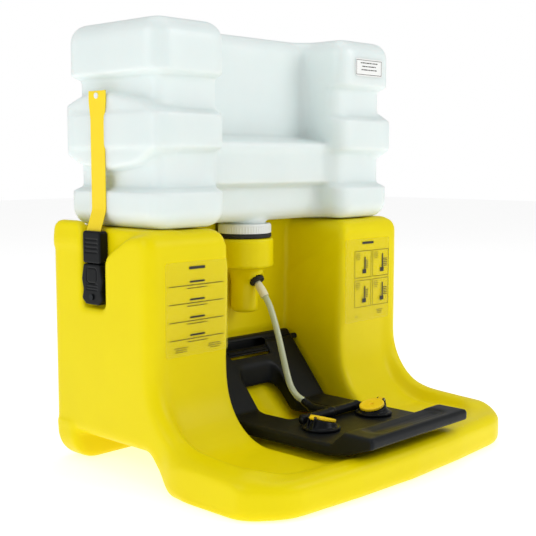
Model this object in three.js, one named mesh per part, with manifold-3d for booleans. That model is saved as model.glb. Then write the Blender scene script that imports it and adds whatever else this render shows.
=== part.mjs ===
// Portable gravity-fed eyewash station: an inverted water tank standing on a hollow moulded receiver
// whose lower end is a bowl, with a swing-down arm that carries two spray heads.
// Millimetres. +X is the user's right when facing the station from behind it, the bowl reaches towards
// -Y, +Z is up. The origin is the middle of the bounding box at the level it stands on.
import * as THREE from "three";
import { mergeVertices } from "three/addons/utils/BufferGeometryUtils.js";
import Module from "manifold-3d";

const wasm = await Module();
wasm.setup();

// ---------------------------------------------------------------- driving dimensions
const WING_HALF = 280; // middle plane to the outer face of a side wing
const SHELF_Z = 352; // shelf that the tank stands on
const BODY_DEPTH = 226; // front face of the wings to the back
const BOWL_REACH = 243; // front face of the wings to the front of the lip
const WELL_HALF = 125; // half width of the well between the wings
const WALL = 4.5; // moulded wall of the receiver
const TANK_HEIGHT = 290; // shelf to the top of the tank
const TANK_WALL = 3; // blown wall of the tank
const NECK_R = 33; // outer radius of the tank's neck
const HEAD_SPACING = 122; // between the two spray heads
const TUBE_D = 10; // supply tube, outer diameter
const STRAP_WIDTH = 32; // hold-down strap
const ARM_WALL = 4; // moulded wall of the arm
const GAP = 0.3; // between pieces that touch
const RUN = 1; // clearance of a piece that slides or swings

// ---------------------------------------------------------------- sizes that follow
const FACE_Y = (BOWL_REACH - BODY_DEPTH) / 2 + 3.5;
const BACK_Y = FACE_Y + BODY_DEPTH;
const LIP_Y = FACE_Y - BOWL_REACH;
const FLARE = 11; // bowl wider than the wings, each side
const RIM_W = 41; // width of the bowl's raised rim
const FLOOR_Z = 44; // bowl floor
const RIM_Z = 50; // top of the rim at the front lip
const RIM_RISE = 26; // top of the rim above the floor where the wings begin to climb
const SEAT_R = 85; // sweep from the floor up into the wing faces
const UNDER_Z = 46; // underside of the rear part
const EDGE_R = 18; // rounded edges of the wings
const BLOCK_Y = FACE_Y + 125; // front of the block between the wings
const WELL_Z = 36; // lowest floor of the well
const SLOT = { y0: FACE_Y + 99, y1: FACE_Y + 150, z0: SHELF_Z - 114, depth: 14 };
const LIP_UP = 9; // side lips that keep the tank from sliding
const CUP = { y: FACE_Y + 98, r: NECK_R + 13, bore: NECK_R - 1, seat: SHELF_Z - 26 };
const SUMP = { r: 22, z0: SHELF_Z - 146, neck: SHELF_Z - 90, wall: 3.5 };
const TANK = {
  half: WING_HALF - 18,
  front: FACE_Y + 1.5,
  back: BACK_Y - 14,
  z0: SHELF_Z + GAP,
  z1: SHELF_Z + TANK_HEIGHT,
  corner: 30,
  channel: 15,
  recess: WELL_HALF + 1,
};
const CAP_R = CUP.r - 4;
const ARM = { half: WELL_HALF - 11, thick: 18, top: FLOOR_Z + 20, handleTop: FLOOR_Z + 40 };
const PIVOT = { y: BLOCK_Y - 21, z: FLOOR_Z + 106, r: 5 };
const HEAD = { x: HEAD_SPACING / 2, y: FACE_Y - 117, tilt: THREE.MathUtils.degToRad(16) };

const YELLOW = { color: 0xe8dc00, roughness: 0.42, metalness: 0 };
const BLACK = { color: 0x14171a, roughness: 0.5, metalness: 0 };
const TANK_WHITE = { color: 0xe6edee, roughness: 0.38, metalness: 0, transparent: true, opacity: 0.9 };
const WHITE = { color: 0xf0f2f0, roughness: 0.45, metalness: 0 };
const RUBBER = { color: 0x101214, roughness: 0.75, metalness: 0 };
const STRAP_YELLOW = { color: 0xfbde18, roughness: 0.7, metalness: 0 };
const CAP_YELLOW = { color: 0xf2c510, roughness: 0.45, metalness: 0 };
const CLEAR_TUBE = { color: 0xdfe6cf, roughness: 0.2, metalness: 0, transparent: true, opacity: 0.75 };
const FILM = { color: 0xf2ee9a, roughness: 0.2, metalness: 0, transparent: true, opacity: 0.5 };
const STEEL = { color: 0xb9bdc1, roughness: 0.3, metalness: 1 };

// ---------------------------------------------------------------- outlines
const ARC_STEP = THREE.MathUtils.degToRad(22.5);

// A closed outline from corners [a, b, radius], each corner rounded to its own radius.
function outline(corners) {
  const points = [];
  corners.forEach(([a, b, r = 0], i) => {
    const p = new THREE.Vector2(a, b);
    const before = corners.at(i - 1);
    const after = corners[(i + 1) % corners.length];
    if (!r) {
      points.push([a, b]);
      return;
    }
    const u = new THREE.Vector2(before[0], before[1]).sub(p).normalize();
    const v = new THREE.Vector2(after[0], after[1]).sub(p).normalize();
    const half = Math.acos(THREE.MathUtils.clamp(u.dot(v), -1, 1)) / 2;
    const centre = u.clone().add(v).normalize().multiplyScalar(r / Math.sin(half)).add(p);
    const from = u.clone().multiplyScalar(r / Math.tan(half)).add(p).sub(centre);
    const to = v.clone().multiplyScalar(r / Math.tan(half)).add(p).sub(centre);
    const sweep = Math.atan2(from.x * to.y - from.y * to.x, from.dot(to));
    const steps = Math.max(1, Math.ceil(Math.abs(sweep) / ARC_STEP));
    for (let k = 0; k <= steps; k += 1) {
      const q = from.clone().rotateAround(new THREE.Vector2(), (sweep * k) / steps).add(centre);
      points.push([q.x, q.y]);
    }
  });
  return points;
}

// The outline moved inwards by t (outwards when t is negative).
function inset(points, t) {
  const shape = points.map(([a, b]) => new THREE.Vector2(a, b));
  if (THREE.ShapeUtils.area(shape) < 0) shape.reverse();
  return shape.map((p, i) => {
    const before = p.clone().sub(shape.at(i - 1)).normalize();
    const after = shape[(i + 1) % shape.length].clone().sub(p).normalize();
    const m = new THREE.Vector2(-before.y, before.x);
    const n = new THREE.Vector2(-after.y, after.x);
    const move = m.clone().add(n).multiplyScalar(t / (1 + m.dot(n)));
    return [p.x + move.x, p.y + move.y];
  });
}

function circle(a, b, r, sides = 32) {
  const turn = (2 * Math.PI) / sides;
  return Array.from({ length: sides }, (_, k) => [
    a + r * Math.cos(k * turn),
    b + r * Math.sin(k * turn),
  ]);
}

// ---------------------------------------------------------------- solids
function solid(geometry) {
  const bare = geometry.index ? geometry.toNonIndexed() : geometry.clone();
  bare.deleteAttribute("normal");
  bare.deleteAttribute("uv");
  const merged = mergeVertices(bare, 1e-4);
  return new wasm.Manifold(
    new wasm.Mesh({
      numProp: 3,
      vertProperties: merged.attributes.position.array,
      triVerts: new Uint32Array(merged.index.array),
    }),
  );
}

// An outline pushed along an axis from low to high, its end edges rounded by edge.
function extruded(points, low, high, edge, steps, basis) {
  const shape = new THREE.Shape(points.map(([a, b]) => new THREE.Vector2(a, b)));
  const geometry = new THREE.ExtrudeGeometry(shape, {
    depth: high - low - 2 * edge,
    bevelEnabled: edge > 0,
    bevelThickness: edge,
    bevelSize: edge,
    bevelOffset: -edge,
    bevelSegments: steps,
  });
  geometry.translate(0, 0, low + edge);
  return solid(geometry.applyMatrix4(basis));
}

const X_AXIS = new THREE.Vector3(1, 0, 0);
const Y_AXIS = new THREE.Vector3(0, 1, 0);
const Z_AXIS = new THREE.Vector3(0, 0, 1);
const ALONG_X = new THREE.Matrix4().makeBasis(Y_AXIS, Z_AXIS, X_AXIS);
const ALONG_Y = new THREE.Matrix4().makeBasis(X_AXIS, Z_AXIS, Y_AXIS.clone().negate());
const ALONG_Z = new THREE.Matrix4();

// Outlines are [y, z] along X, [x, z] along Y and [x, y] along Z.
const alongX = (points, x0, x1, edge = 0, steps = 2) => extruded(points, x0, x1, edge, steps, ALONG_X);
const alongY = (points, y0, y1, edge = 0, steps = 2) => extruded(points, -y1, -y0, edge, steps, ALONG_Y);
const alongZ = (points, z0, z1, edge = 0, steps = 2) => extruded(points, z0, z1, edge, steps, ALONG_Z);

// A turned solid about a vertical line, from a profile [radius, height] that starts and ends on it.
function turned(profile, sides = 24) {
  const points = profile.map(([r, z]) => new THREE.Vector2(r, z));
  const geometry = new THREE.LatheGeometry(points, sides);
  return solid(geometry.rotateX(Math.PI / 2));
}

function ring(outer, inner, z0, z1, sides = 24) {
  return turned(
    [
      [inner, z0],
      [outer, z0],
      [outer, z1],
      [inner, z1],
      [inner, z0],
    ],
    sides,
  );
}

function rod(r, z0, z1, sides = 24) {
  return turned(
    [
      [0, z0],
      [r, z0],
      [r, z1],
      [0, z1],
    ],
    sides,
  );
}

// A cylinder between two points.
function bar(from, to, r, sides = 16) {
  const a = new THREE.Vector3(...from);
  const b = new THREE.Vector3(...to);
  const turn = new THREE.Quaternion().setFromUnitVectors(Y_AXIS, b.clone().sub(a).normalize());
  const geometry = new THREE.CylinderGeometry(r, r, a.distanceTo(b), sides);
  geometry.applyQuaternion(turn);
  geometry.translate(...a.clone().add(b).multiplyScalar(0.5));
  return solid(geometry);
}

function block(x0, x1, y0, y1, z0, z1) {
  const geometry = new THREE.BoxGeometry(x1 - x0, y1 - y0, z1 - z0);
  geometry.translate((x0 + x1) / 2, (y0 + y1) / 2, (z0 + z1) / 2);
  return solid(geometry);
}

const join = (...shapes) => shapes.reduce((a, b) => a.add(b));
const cut = (shape, ...tools) => tools.reduce((a, b) => a.subtract(b), shape);
const mirrored = (shape) => shape.mirror([1, 0, 0]);
const bothSides = (shape) => join(shape, mirrored(shape));

// ---------------------------------------------------------------- assembly
const assembly = new THREE.Group();

function piece(name, shape, finish) {
  const made = shape.getMesh();
  const geometry = new THREE.BufferGeometry();
  geometry.setAttribute("position", new THREE.BufferAttribute(made.vertProperties, 3));
  geometry.setIndex(new THREE.BufferAttribute(made.triVerts, 1));
  geometry.computeVertexNormals();
  const mesh = new THREE.Mesh(geometry, new THREE.MeshStandardMaterial(finish));
  mesh.name = name;
  assembly.add(mesh);
}

// The same piece on both sides: shape is the one at -X.
function pair(name, shape, finish) {
  piece(`${name}_left`, shape, finish);
  piece(`${name}_right`, mirrored(shape), finish);
}

// ---------------------------------------------------------------- receiver
const RIM_CORNER_Z = FLOOR_Z + RIM_RISE;

// Side outline of the wings and the bowl's rim, [y, z].
function wingSide() {
  return outline([
    [BACK_Y, UNDER_Z, EDGE_R + 2],
    [BACK_Y, SHELF_Z, EDGE_R + 4],
    [FACE_Y, SHELF_Z, EDGE_R + 7],
    [FACE_Y, RIM_CORNER_Z, SEAT_R + 12],
    [LIP_Y + 60, RIM_Z, EDGE_R + 2],
    [LIP_Y + 60, 1, EDGE_R + 2],
    [FACE_Y - 28, 1, 40],
    [FACE_Y + 12, UNDER_Z, 22],
  ]);
}

function bowlPlan() {
  const half = WING_HALF + FLARE;
  return outline([
    [half - 12, FACE_Y - 36, 20],
    [half, FACE_Y - 80, 60],
    [half, LIP_Y + 18, 78],
    [0, LIP_Y - 5, 1500],
    [-half, LIP_Y + 18, 78],
    [-half, FACE_Y - 80, 60],
    [-half + 12, FACE_Y - 36, 20],
  ]);
}

function dishPlan() {
  const half = WING_HALF + FLARE - RIM_W;
  return outline([
    [half, FACE_Y + 60],
    [half, LIP_Y + 54, 66],
    [0, LIP_Y + 29, 1300],
    [-half, LIP_Y + 54, 66],
    [-half, FACE_Y + 60],
  ]);
}

// Belly that carries the well's floor below the underside of the wings, [y, z].
function bellySide() {
  return outline([
    [FACE_Y - 62, RIM_Z - 12],
    [FACE_Y - 62, 3, 6],
    [FACE_Y - 20, 3, 30],
    [FACE_Y + 44, 24, 60],
    [BLOCK_Y + 14, UNDER_Z + 4, 10],
    [BLOCK_Y + 14, UNDER_Z + 30],
    [FACE_Y + 30, UNDER_Z + 30],
  ]);
}

// Space above the bowl floor and in front of the wing faces, [y, z].
function seatSide() {
  return outline([
    [FACE_Y - 30, SHELF_Z + 100],
    [FACE_Y, RIM_CORNER_Z + SEAT_R + 12],
    [FACE_Y, FLOOR_Z, SEAT_R],
    [LIP_Y - 50, FLOOR_Z],
    [LIP_Y - 50, SHELF_Z + 100],
  ]);
}

// Space of the well between the wings, [y, z]. Its ramp runs parallel to the arm above it.
function wellSide() {
  return outline([
    [BLOCK_Y, SHELF_Z + 100],
    [BLOCK_Y, PIVOT.z - 24],
    [BLOCK_Y - 83, FLOOR_Z + 2, 8],
    [BLOCK_Y - 91, WELL_Z, 14],
    [LIP_Y + 100, WELL_Z, 30],
    [LIP_Y + 62, FLOOR_Z + 1],
    [LIP_Y + 62, SHELF_Z + 100],
  ]);
}

// Shallow recess in the side face for the strap's buckle, which also drops the edge in front of it.
function slotSide() {
  return outline([
    [SLOT.y1, SLOT.z0, 8],
    [SLOT.y1, SHELF_Z + 100],
    [FACE_Y - 4, SHELF_Z + 100],
    [FACE_Y - 4, SHELF_Z + 1],
    [FACE_Y + 48, SHELF_Z - 10, 40],
    [SLOT.y0, SHELF_Z - 40, 24],
    [SLOT.y0, SLOT.z0, 8],
  ]);
}

// The receiver's outside when t is 0, and the surface t inside it otherwise.
function receiverForm(t) {
  const tall = SHELF_Z + 99;
  const wings = alongX(inset(wingSide(), t), t - WING_HALF, WING_HALF - t, EDGE_R - t);
  const bowl = alongZ(inset(bowlPlan(), t), t, RIM_Z - t, 14 - t);
  const foot = alongY(
    inset(
      outline([
        [-WING_HALF, UNDER_Z + 14],
        [-WING_HALF, 0, 46],
        [WING_HALF, 0, 46],
        [WING_HALF, UNDER_Z + 14],
      ]),
      t,
    ),
    BACK_Y - 52 + t,
    BACK_Y - 2 - t,
    12 - t,
  );
  const belly = alongX(inset(bellySide(), t), t - WELL_HALF - 10, WELL_HALF + 10 - t);
  const dish = alongX(inset(seatSide(), -t), -WING_HALF - 30, WING_HALF + 30).intersect(
    alongZ(inset(dishPlan(), -t), FLOOR_Z - t, tall + 40, 14),
  );
  const well = alongX(inset(wellSide(), -t), -WELL_HALF - t, WELL_HALF + t);
  const round = 28; // where a wing's shelf turns down into the well
  const shoulder = alongY(
    inset(
      outline([
        [WELL_HALF - 5, SHELF_Z - round - 12],
        [WELL_HALF, SHELF_Z - round - 12],
        [WELL_HALF, SHELF_Z - 12],
        [WELL_HALF + 12, SHELF_Z],
        [WELL_HALF + round, SHELF_Z + 1],
        [WELL_HALF + round, SHELF_Z + 20],
        [WELL_HALF - 5, SHELF_Z + 20],
      ]),
      -t,
    ),
    FACE_Y - 60,
    BLOCK_Y + t,
  );
  const slot = alongX(inset(slotSide(), -t), -WING_HALF - 60, -WING_HALF + SLOT.depth + t);
  const lip = alongX(
    inset(
      outline([
        [BACK_Y - 6, SHELF_Z - 30],
        [BACK_Y - 6, SHELF_Z + LIP_UP, 16],
        [SLOT.y1 + 0.5, SHELF_Z + LIP_UP, 14],
        [SLOT.y1 + 0.5, SHELF_Z - 30],
      ]),
      t,
    ),
    -WING_HALF + t,
    -WING_HALF + 14 - t,
    4 - t > 0 ? 4 - t : 0,
  );
  let form = join(wings, bowl, foot, belly);
  form = cut(form, dish, well, bothSides(shoulder), bothSides(slot));
  return t ? form : join(form, bothSides(lip));
}

// Cup under the tank's cap and the sump below it, about the neck's line.
function cupOutside() {
  return turned([
    [0, SUMP.z0],
    [SUMP.r - 8, SUMP.z0],
    [SUMP.r - 2.5, SUMP.z0 + 2.5],
    [SUMP.r, SUMP.z0 + 8],
    [SUMP.r, SUMP.neck - 6],
    [CUP.r - 4, SUMP.neck + 14],
    [CUP.r, SUMP.neck + 20],
    [CUP.r, CUP.seat],
    [0, CUP.seat],
  ]).translate(0, CUP.y, 0);
}

function cupInside() {
  return turned([
    [0, SUMP.z0 + SUMP.wall],
    [SUMP.r - SUMP.wall, SUMP.z0 + SUMP.wall],
    [SUMP.r - SUMP.wall, SUMP.neck],
    [CUP.bore, SUMP.neck + 20],
    [CUP.bore, CUP.seat],
    [CUP.r, CUP.seat],
    [CUP.r, SHELF_Z + 60],
    [0, SHELF_Z + 60],
  ]).translate(0, CUP.y, 0);
}

const OUTLET = {
  at: [0, CUP.y - 26, SUMP.neck - 2],
  way: new THREE.Vector3(0, -0.6, -0.8),
};
// A point s along the outlet's own line from its mouth.
const outlet = (s) => OUTLET.way.clone().multiplyScalar(s).add(new THREE.Vector3(...OUTLET.at)).toArray();

const VENT = { y: BACK_Y, z: SHELF_Z - 230, r: 8 };
const ANCHOR = { y: (SLOT.y0 + SLOT.y1) / 2, z: SLOT.z0 + 16, r: 2.5 };

function receiver() {
  const shell = cut(receiverForm(0), receiverForm(WALL));
  // the outlet's wall is thickened round the grommet
  const boss = bar(outlet(-18), outlet(0), 15.5);
  const body = cut(join(shell, cupOutside(), boss), cupInside());
  const pinHole = bar([-WELL_HALF - 20, PIVOT.y, PIVOT.z], [WELL_HALF + 20, PIVOT.y, PIVOT.z], PIVOT.r + GAP);
  const x = WING_HALF - SLOT.depth;
  const anchorHole = bar([-x - 5, ANCHOR.y, ANCHOR.z], [-x + 12, ANCHOR.y, ANCHOR.z], ANCHOR.r + GAP);
  return cut(
    body,
    bar(outlet(-24), outlet(4), 9 + GAP),
    bar(outlet(0), outlet(16), 12 + GAP),
    bar([0, VENT.y - 12, VENT.z], [0, VENT.y + 4, VENT.z], VENT.r + GAP),
    bar([0, VENT.y - 1.8, VENT.z], [0, VENT.y + 4, VENT.z], VENT.r + 3 + GAP),
    pinHole,
    bothSides(anchorHole),
  );
}

piece("receiver_shell", receiver(), YELLOW);

// moulding vent in the back, closed by a push-in plug
piece(
  "vent_plug",
  join(
    bar([0, VENT.y - 1.8 + GAP, VENT.z], [0, VENT.y - GAP, VENT.z], VENT.r + 3),
    bar([0, VENT.y - 9, VENT.z], [0, VENT.y - 1, VENT.z], VENT.r),
  ),
  BLACK,
);

// ring that seals the cap to the cup's rim
piece(
  "cup_gasket",
  ring(CAP_R + 1, CUP.bore + 1, CUP.seat + GAP, CUP.seat + 6.5).translate(0, CUP.y, 0),
  RUBBER,
);

// Post in the cup that pushes the cap's valve open, on three webs.
const PROBE = { r: 5, foot: SUMP.neck + 20, top: CUP.seat - 2 - GAP };
function probe() {
  const hub = rod(PROBE.r, PROBE.foot - 14, PROBE.top);
  const rim = ring(CUP.bore - GAP, CUP.bore - 4, PROBE.foot + GAP, PROBE.foot + 6);
  const web = block(0, CUP.bore - 2, -1.5, 1.5, PROBE.foot + GAP, PROBE.foot + 6);
  return join(hub, rim, web, web.rotate([0, 0, 120]), web.rotate([0, 0, 240])).translate(0, CUP.y, 0);
}
piece("valve_probe", probe(), WHITE);

piece(
  "hose_grommet",
  cut(
    join(bar(outlet(-8), outlet(2), 9), bar(outlet(GAP), outlet(6), 12)),
    bar(outlet(-30), outlet(10), TUBE_D / 2 + GAP),
  ),
  RUBBER,
);

// Film labels on the front faces of the wings.
function label(x0, x1, z0, z1, y) {
  const corner = 4;
  return alongY(
    outline([
      [x0, z0, corner],
      [x1, z0, corner],
      [x1, z1, corner],
      [x0, z1, corner],
    ]),
    y - GAP - 0.5,
    y - GAP,
  );
}
const LABEL_IN = WELL_HALF + 9;
piece("instruction_label_left", label(-WING_HALF + 28, -LABEL_IN, SHELF_Z - 176, SHELF_Z - 44, FACE_Y), FILM);
piece("instruction_label_right", label(LABEL_IN, WING_HALF - 28, SHELF_Z - 172, SHELF_Z - 34, FACE_Y), FILM);

// ---------------------------------------------------------------- tank
// Plan of the tank, [x, y], d inside its bands, its middle set back to the line back.
function tankPlan(d, back) {
  const half = TANK.half - d;
  return outline([
    [-half, TANK.front + d, TANK.corner],
    [-TANK.recess, TANK.front + d, TANK.corner],
    [-TANK.recess, back, 8],
    [TANK.recess, back, 8],
    [TANK.recess, TANK.front + d, TANK.corner],
    [half, TANK.front + d, TANK.corner],
    [half, TANK.back - d, TANK.corner],
    [-half, TANK.back - d, TANK.corner],
  ]);
}

const level = (share) => TANK.z0 + share * TANK_HEIGHT;
const BAND = { low: level(0.19), mid0: level(0.38), mid1: level(0.562), high: level(0.737) };
const PANEL = {
  upper: FACE_Y + 86,
  lower: FACE_Y + 33,
  foot: FACE_Y + 54,
  lowerTop: level(0.445),
};
const BOSS = { low: level(0.276), high: level(0.668), y: FACE_Y + 128 };

// Broad arched boss on a side of the tank, [y, z], over which the strap runs.
function bossSide() {
  return outline([
    [TANK.front + 4, BAND.mid0 + 2],
    [TANK.front + 46, BOSS.low + 8, 60],
    [BOSS.y - 10, BOSS.low, 120],
    [BOSS.y + 50, BOSS.low + 8, 90],
    [TANK.back - 4, BAND.mid0 - 8],
    [TANK.back - 4, BAND.mid1 + 16],
    [BOSS.y + 40, BOSS.high, 120],
    [BOSS.y - 24, BOSS.high, 120],
    [TANK.front + 30, BAND.mid1 + 14, 60],
    [TANK.front + 4, BAND.mid1 - 2],
  ]);
}

function tankForm(t) {
  const plan = (d, back) => inset(tankPlan(d, back), t);
  const core = alongZ(plan(TANK.channel, PANEL.upper), TANK.z0 + 20, TANK.z1 - 20);
  const big = 26 - t;
  const small = 9 - t;
  const high = alongZ(plan(0, PANEL.upper), BAND.high + t, TANK.z1 + 40, small).intersect(
    alongZ(plan(0, PANEL.upper), BAND.high - 90, TANK.z1 - t, big, 4),
  );
  const low = alongZ(plan(0, PANEL.upper), TANK.z0 - 40, BAND.low - t, small).intersect(
    alongZ(plan(0, PANEL.upper), TANK.z0 + t, BAND.low + 90, big, 4),
  );
  const mid = alongZ(plan(0, PANEL.upper), BAND.mid0 + t, BAND.mid1 - t, small);
  const boss = alongX(inset(bossSide(), t), -TANK.half + t, -TANK.half + 40, small);
  const middle = (y, z0, z1, edge) =>
    alongZ(
      inset(
        outline([
          [-TANK.recess - 6, y, 10],
          [TANK.recess + 6, y, 10],
          [TANK.recess + 6, PANEL.upper + 30],
          [-TANK.recess - 6, PANEL.upper + 30],
        ]),
        t,
      ),
      z0 + t,
      z1 - t,
      edge,
    );
  const panel = middle(PANEL.lower, BAND.low + 4, PANEL.lowerTop, 4 - t > 0 ? 4 - t : 0);
  const foot = middle(PANEL.foot, TANK.z0 + 0.5, BAND.low, 8 - t);
  return join(core, high, low, mid, bothSides(boss), panel, foot);
}

const STUD = { y: BOSS.y, z: BOSS.high - 8, r: 2.6, reach: 9 };

function tank() {
  const neckBottom = CUP.seat + 8;
  const neck = rod(NECK_R, neckBottom, TANK.z0 + 10, 40).translate(0, CUP.y, 0);
  const bore = rod(NECK_R - 5, neckBottom - 1, TANK.z0 + 12, 40).translate(0, CUP.y, 0);
  const x = TANK.half;
  const pocket = bar([-x - 1, STUD.y, STUD.z], [-x + 12, STUD.y, STUD.z], STUD.r + 3);
  const hole = bar([-x - 1, STUD.y, STUD.z], [-x + STUD.reach, STUD.y, STUD.z], STUD.r + GAP, 16);
  const hollow = cut(tankForm(TANK_WALL), bothSides(pocket));
  return cut(join(cut(tankForm(0), hollow), neck), bore, bothSides(hole));
}
piece("tank_body", tank(), TANK_WHITE);

// Screw cap: skirt round the neck, a seat plate below it and the stem's guide.
const CAP = { z0: CUP.seat + 6.5 + GAP, z1: SHELF_Z - 4, bore: 17, nose: CUP.seat - 12 };
const POPPET = { r: 22, seat: CUP.seat + 6, stem: 4 };
function cap() {
  return turned(
    [
      [CAP.bore, CAP.nose],
      [CUP.bore - RUN - 2, CAP.nose],
      [CUP.bore - RUN, CAP.nose + 2],
      [CUP.bore - RUN, CAP.z0],
      [CAP_R, CAP.z0],
      [CAP_R + 0.8, CAP.z0 + 2],
      [CAP_R, CAP.z1],
      [NECK_R + GAP, CAP.z1],
      [NECK_R + GAP, CUP.seat + 8 - GAP],
      [POPPET.r + RUN + 1, CUP.seat + 8 - GAP],
      [POPPET.r + RUN + 1, CAP.nose + 6],
      [CAP.bore, CAP.nose + 2],
      [CAP.bore, CAP.nose],
    ],
    40,
  ).translate(0, CUP.y, 0);
}
piece("tank_cap", cap(), WHITE);

// Valve poppet, held open by the probe while the tank is seated, its seal and its spring.
const LIFT = 6; // travel of the valve
const DISC_Z = CAP.nose + 6 + LIFT;
piece(
  "valve_poppet",
  join(
    rod(CAP.bore + 2.2, DISC_Z, DISC_Z + 3),
    rod(POPPET.stem, PROBE.top + GAP, DISC_Z + 1),
    rod(POPPET.stem, DISC_Z + 1, DISC_Z + 24),
  ).translate(0, CUP.y, 0),
  WHITE,
);
piece(
  "valve_seal",
  ring(CAP.bore + 2.6, CAP.bore - 2, DISC_Z - 2.2, DISC_Z - GAP).translate(0, CUP.y, 0),
  RUBBER,
);

// Compression spring between the poppet's disc and the neck, a coil of round wire.
class Coil extends THREE.Curve {
  constructor(radius, z0, z1, turns) {
    super();
    Object.assign(this, { radius, z0, z1, turns });
  }
  getPoint(t, target = new THREE.Vector3()) {
    const a = 2 * Math.PI * this.turns * t;
    return target.set(this.radius * Math.cos(a), this.radius * Math.sin(a), this.z0 + (this.z1 - this.z0) * t);
  }
}

// A round tube along a curve.
function hose(curve, r, sides, steps) {
  const section = new THREE.Shape(circle(0, 0, r, sides).map(([a, b]) => new THREE.Vector2(a, b)));
  return solid(new THREE.ExtrudeGeometry(section, { steps, bevelEnabled: false, extrudePath: curve }));
}

const SPRING = { r: 9, wire: 0.8, z0: DISC_Z + 3 + GAP + 0.8, z1: TANK.z0 + 4 };
piece(
  "valve_spring",
  hose(new Coil(SPRING.r, SPRING.z0, SPRING.z1, 5), SPRING.wire, 6, 60).translate(0, CUP.y, 0),
  STEEL,
);

// Cage in the neck that the spring pushes against, with a guide for the stem.
function cage() {
  const z0 = SPRING.z1 + SPRING.wire + GAP;
  const rim = ring(NECK_R - 5 - GAP, NECK_R - 8, z0 - 8, z0 + 3);
  const hub = ring(SPRING.r + 4, POPPET.stem + GAP, z0, z0 + 3);
  const web = block(SPRING.r + 2, NECK_R - 6, -2, 2, z0, z0 + 3);
  return join(rim, hub, web, web.rotate([0, 0, 120]), web.rotate([0, 0, 240])).translate(0, CUP.y, 0);
}
piece("spring_cage", cage(), WHITE);

// White film label on the top band of the tank.
piece(
  "tank_label",
  label(TANK.recess + 32, TANK.half - 34, TANK.z1 - 58, TANK.z1 - 30, TANK.front),
  { ...FILM, color: 0xf6f6f2, opacity: 0.95 },
);

// ---------------------------------------------------------------- hold-down straps
const WEB = { thick: 2, x: TANK.half + GAP, out: WING_HALF - SLOT.depth + 6, y: BOSS.y };
const CLIP = { top: SHELF_Z - 4, split: SHELF_Z - 50, half: 20, x0: WING_HALF - SLOT.depth + GAP, thick: 15 };

// The strap hangs from its stud, over the tank's bands, and leans out into the clip.
function strap() {
  const a = WEB.x;
  const b = a + WEB.thick;
  const bend = SHELF_Z + 24;
  const end = CLIP.top - 14;
  const side = [
    [-a, BOSS.high - 1],
    [-a, bend],
    [-WEB.out, CLIP.top + 2],
    [-WEB.out, end],
    [-WEB.out - WEB.thick, end],
    [-WEB.out - WEB.thick, CLIP.top + 2],
    [-b, bend + 1],
    [-b, BOSS.high - 1],
  ];
  const half = STRAP_WIDTH / 2;
  const head = half + 3.5;
  const face = outline([
    [WEB.y - head, BOSS.high - 1, 3],
    [WEB.y - head, BOSS.high - 14],
    [WEB.y - half, BOSS.high - 44],
    [WEB.y - half, end - 1],
    [WEB.y + half, end - 1],
    [WEB.y + half, BOSS.high - 44],
    [WEB.y + head, BOSS.high - 14],
    [WEB.y + head, BOSS.high - 1, 3],
  ]);
  const web = alongY(side, WEB.y - 40, WEB.y + 40).intersect(alongX(face, -WING_HALF - 20, 0));
  return cut(web, bar([-a + 5, STUD.y, STUD.z], [-b - 5, STUD.y, STUD.z], STUD.r + GAP, 16));
}
pair("strap", strap(), STRAP_YELLOW);

pair(
  "strap_stud",
  join(
    bar([-WEB.x + STUD.reach - 1, STUD.y, STUD.z], [-WEB.x - WEB.thick - 1, STUD.y, STUD.z], STUD.r, 16),
    bar(
      [-WEB.x - WEB.thick - GAP, STUD.y, STUD.z],
      [-WEB.x - WEB.thick - 1.8, STUD.y, STUD.z],
      STUD.r + 1.6,
      16,
    ),
  ),
  WHITE,
);

// Side-release buckle: the clip hangs on the strap, the socket is fixed in the receiver's slot.
const SOCKET = { top: CLIP.split - RUN, z0: SLOT.z0 + 5, half: 24, cavity: 8.5 };
function clip() {
  const { x0, thick, half, top, split } = CLIP;
  const y = ANCHOR.y;
  const body = alongX(
    outline([
      [y - half, split, 4],
      [y + half, split, 4],
      [y + half, top, 5],
      [y - half, top, 5],
    ]),
    -x0 - thick,
    -x0,
    2,
    2,
  );
  const mouth = block(
    -WEB.out - WEB.thick - GAP,
    -WEB.out + GAP,
    WEB.y - STRAP_WIDTH / 2 - GAP,
    WEB.y + STRAP_WIDTH / 2 + GAP,
    top - 15,
    top + 1,
  );
  const x = x0 + thick / 2;
  const prong = alongX(
    outline([
      [y - 16, split + 3],
      [y - 16, split - 30],
      [y - 11, split - 36],
      [y - 9, split - 30],
      [y - 9, split + 3],
    ]),
    -x - 3,
    -x + 3,
  );
  const guide = block(-x - 2, -x + 2, y - 3, y + 3, split - 24, split + 3);
  const other = prong.translate(0, -y, 0).mirror([0, 1, 0]).translate(0, y, 0);
  return join(cut(body, mouth), prong, other, guide);
}
pair("buckle_clip", clip(), BLACK);

function socket() {
  const { x0, thick } = CLIP;
  const { top, z0, half, cavity } = SOCKET;
  const y = ANCHOR.y;
  const face = outline([
    [y - 19, top, 4],
    [y - half, top - 22, 6],
    [y - 20, top - 38, 6],
    [y - half, z0 + 8, 5],
    [y - 15, z0, 4],
    [y + 15, z0, 4],
    [y + half, z0 + 8, 5],
    [y + 20, top - 38, 6],
    [y + half, top - 22, 6],
    [y + 19, top, 4],
  ]);
  const body = alongX(face, -x0 - thick, -x0, 1.5, 2);
  const x = x0 + thick / 2;
  const hollow = block(-x - cavity / 2, -x + cavity / 2, y - 17, y + 17, top - 40, top + 1);
  const hole = bar([-x0 - thick - 1, ANCHOR.y, ANCHOR.z], [-x0 + 1, ANCHOR.y, ANCHOR.z], ANCHOR.r + GAP, 16);
  return cut(body, hollow, hole);
}
pair("buckle_socket", socket(), BLACK);

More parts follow.
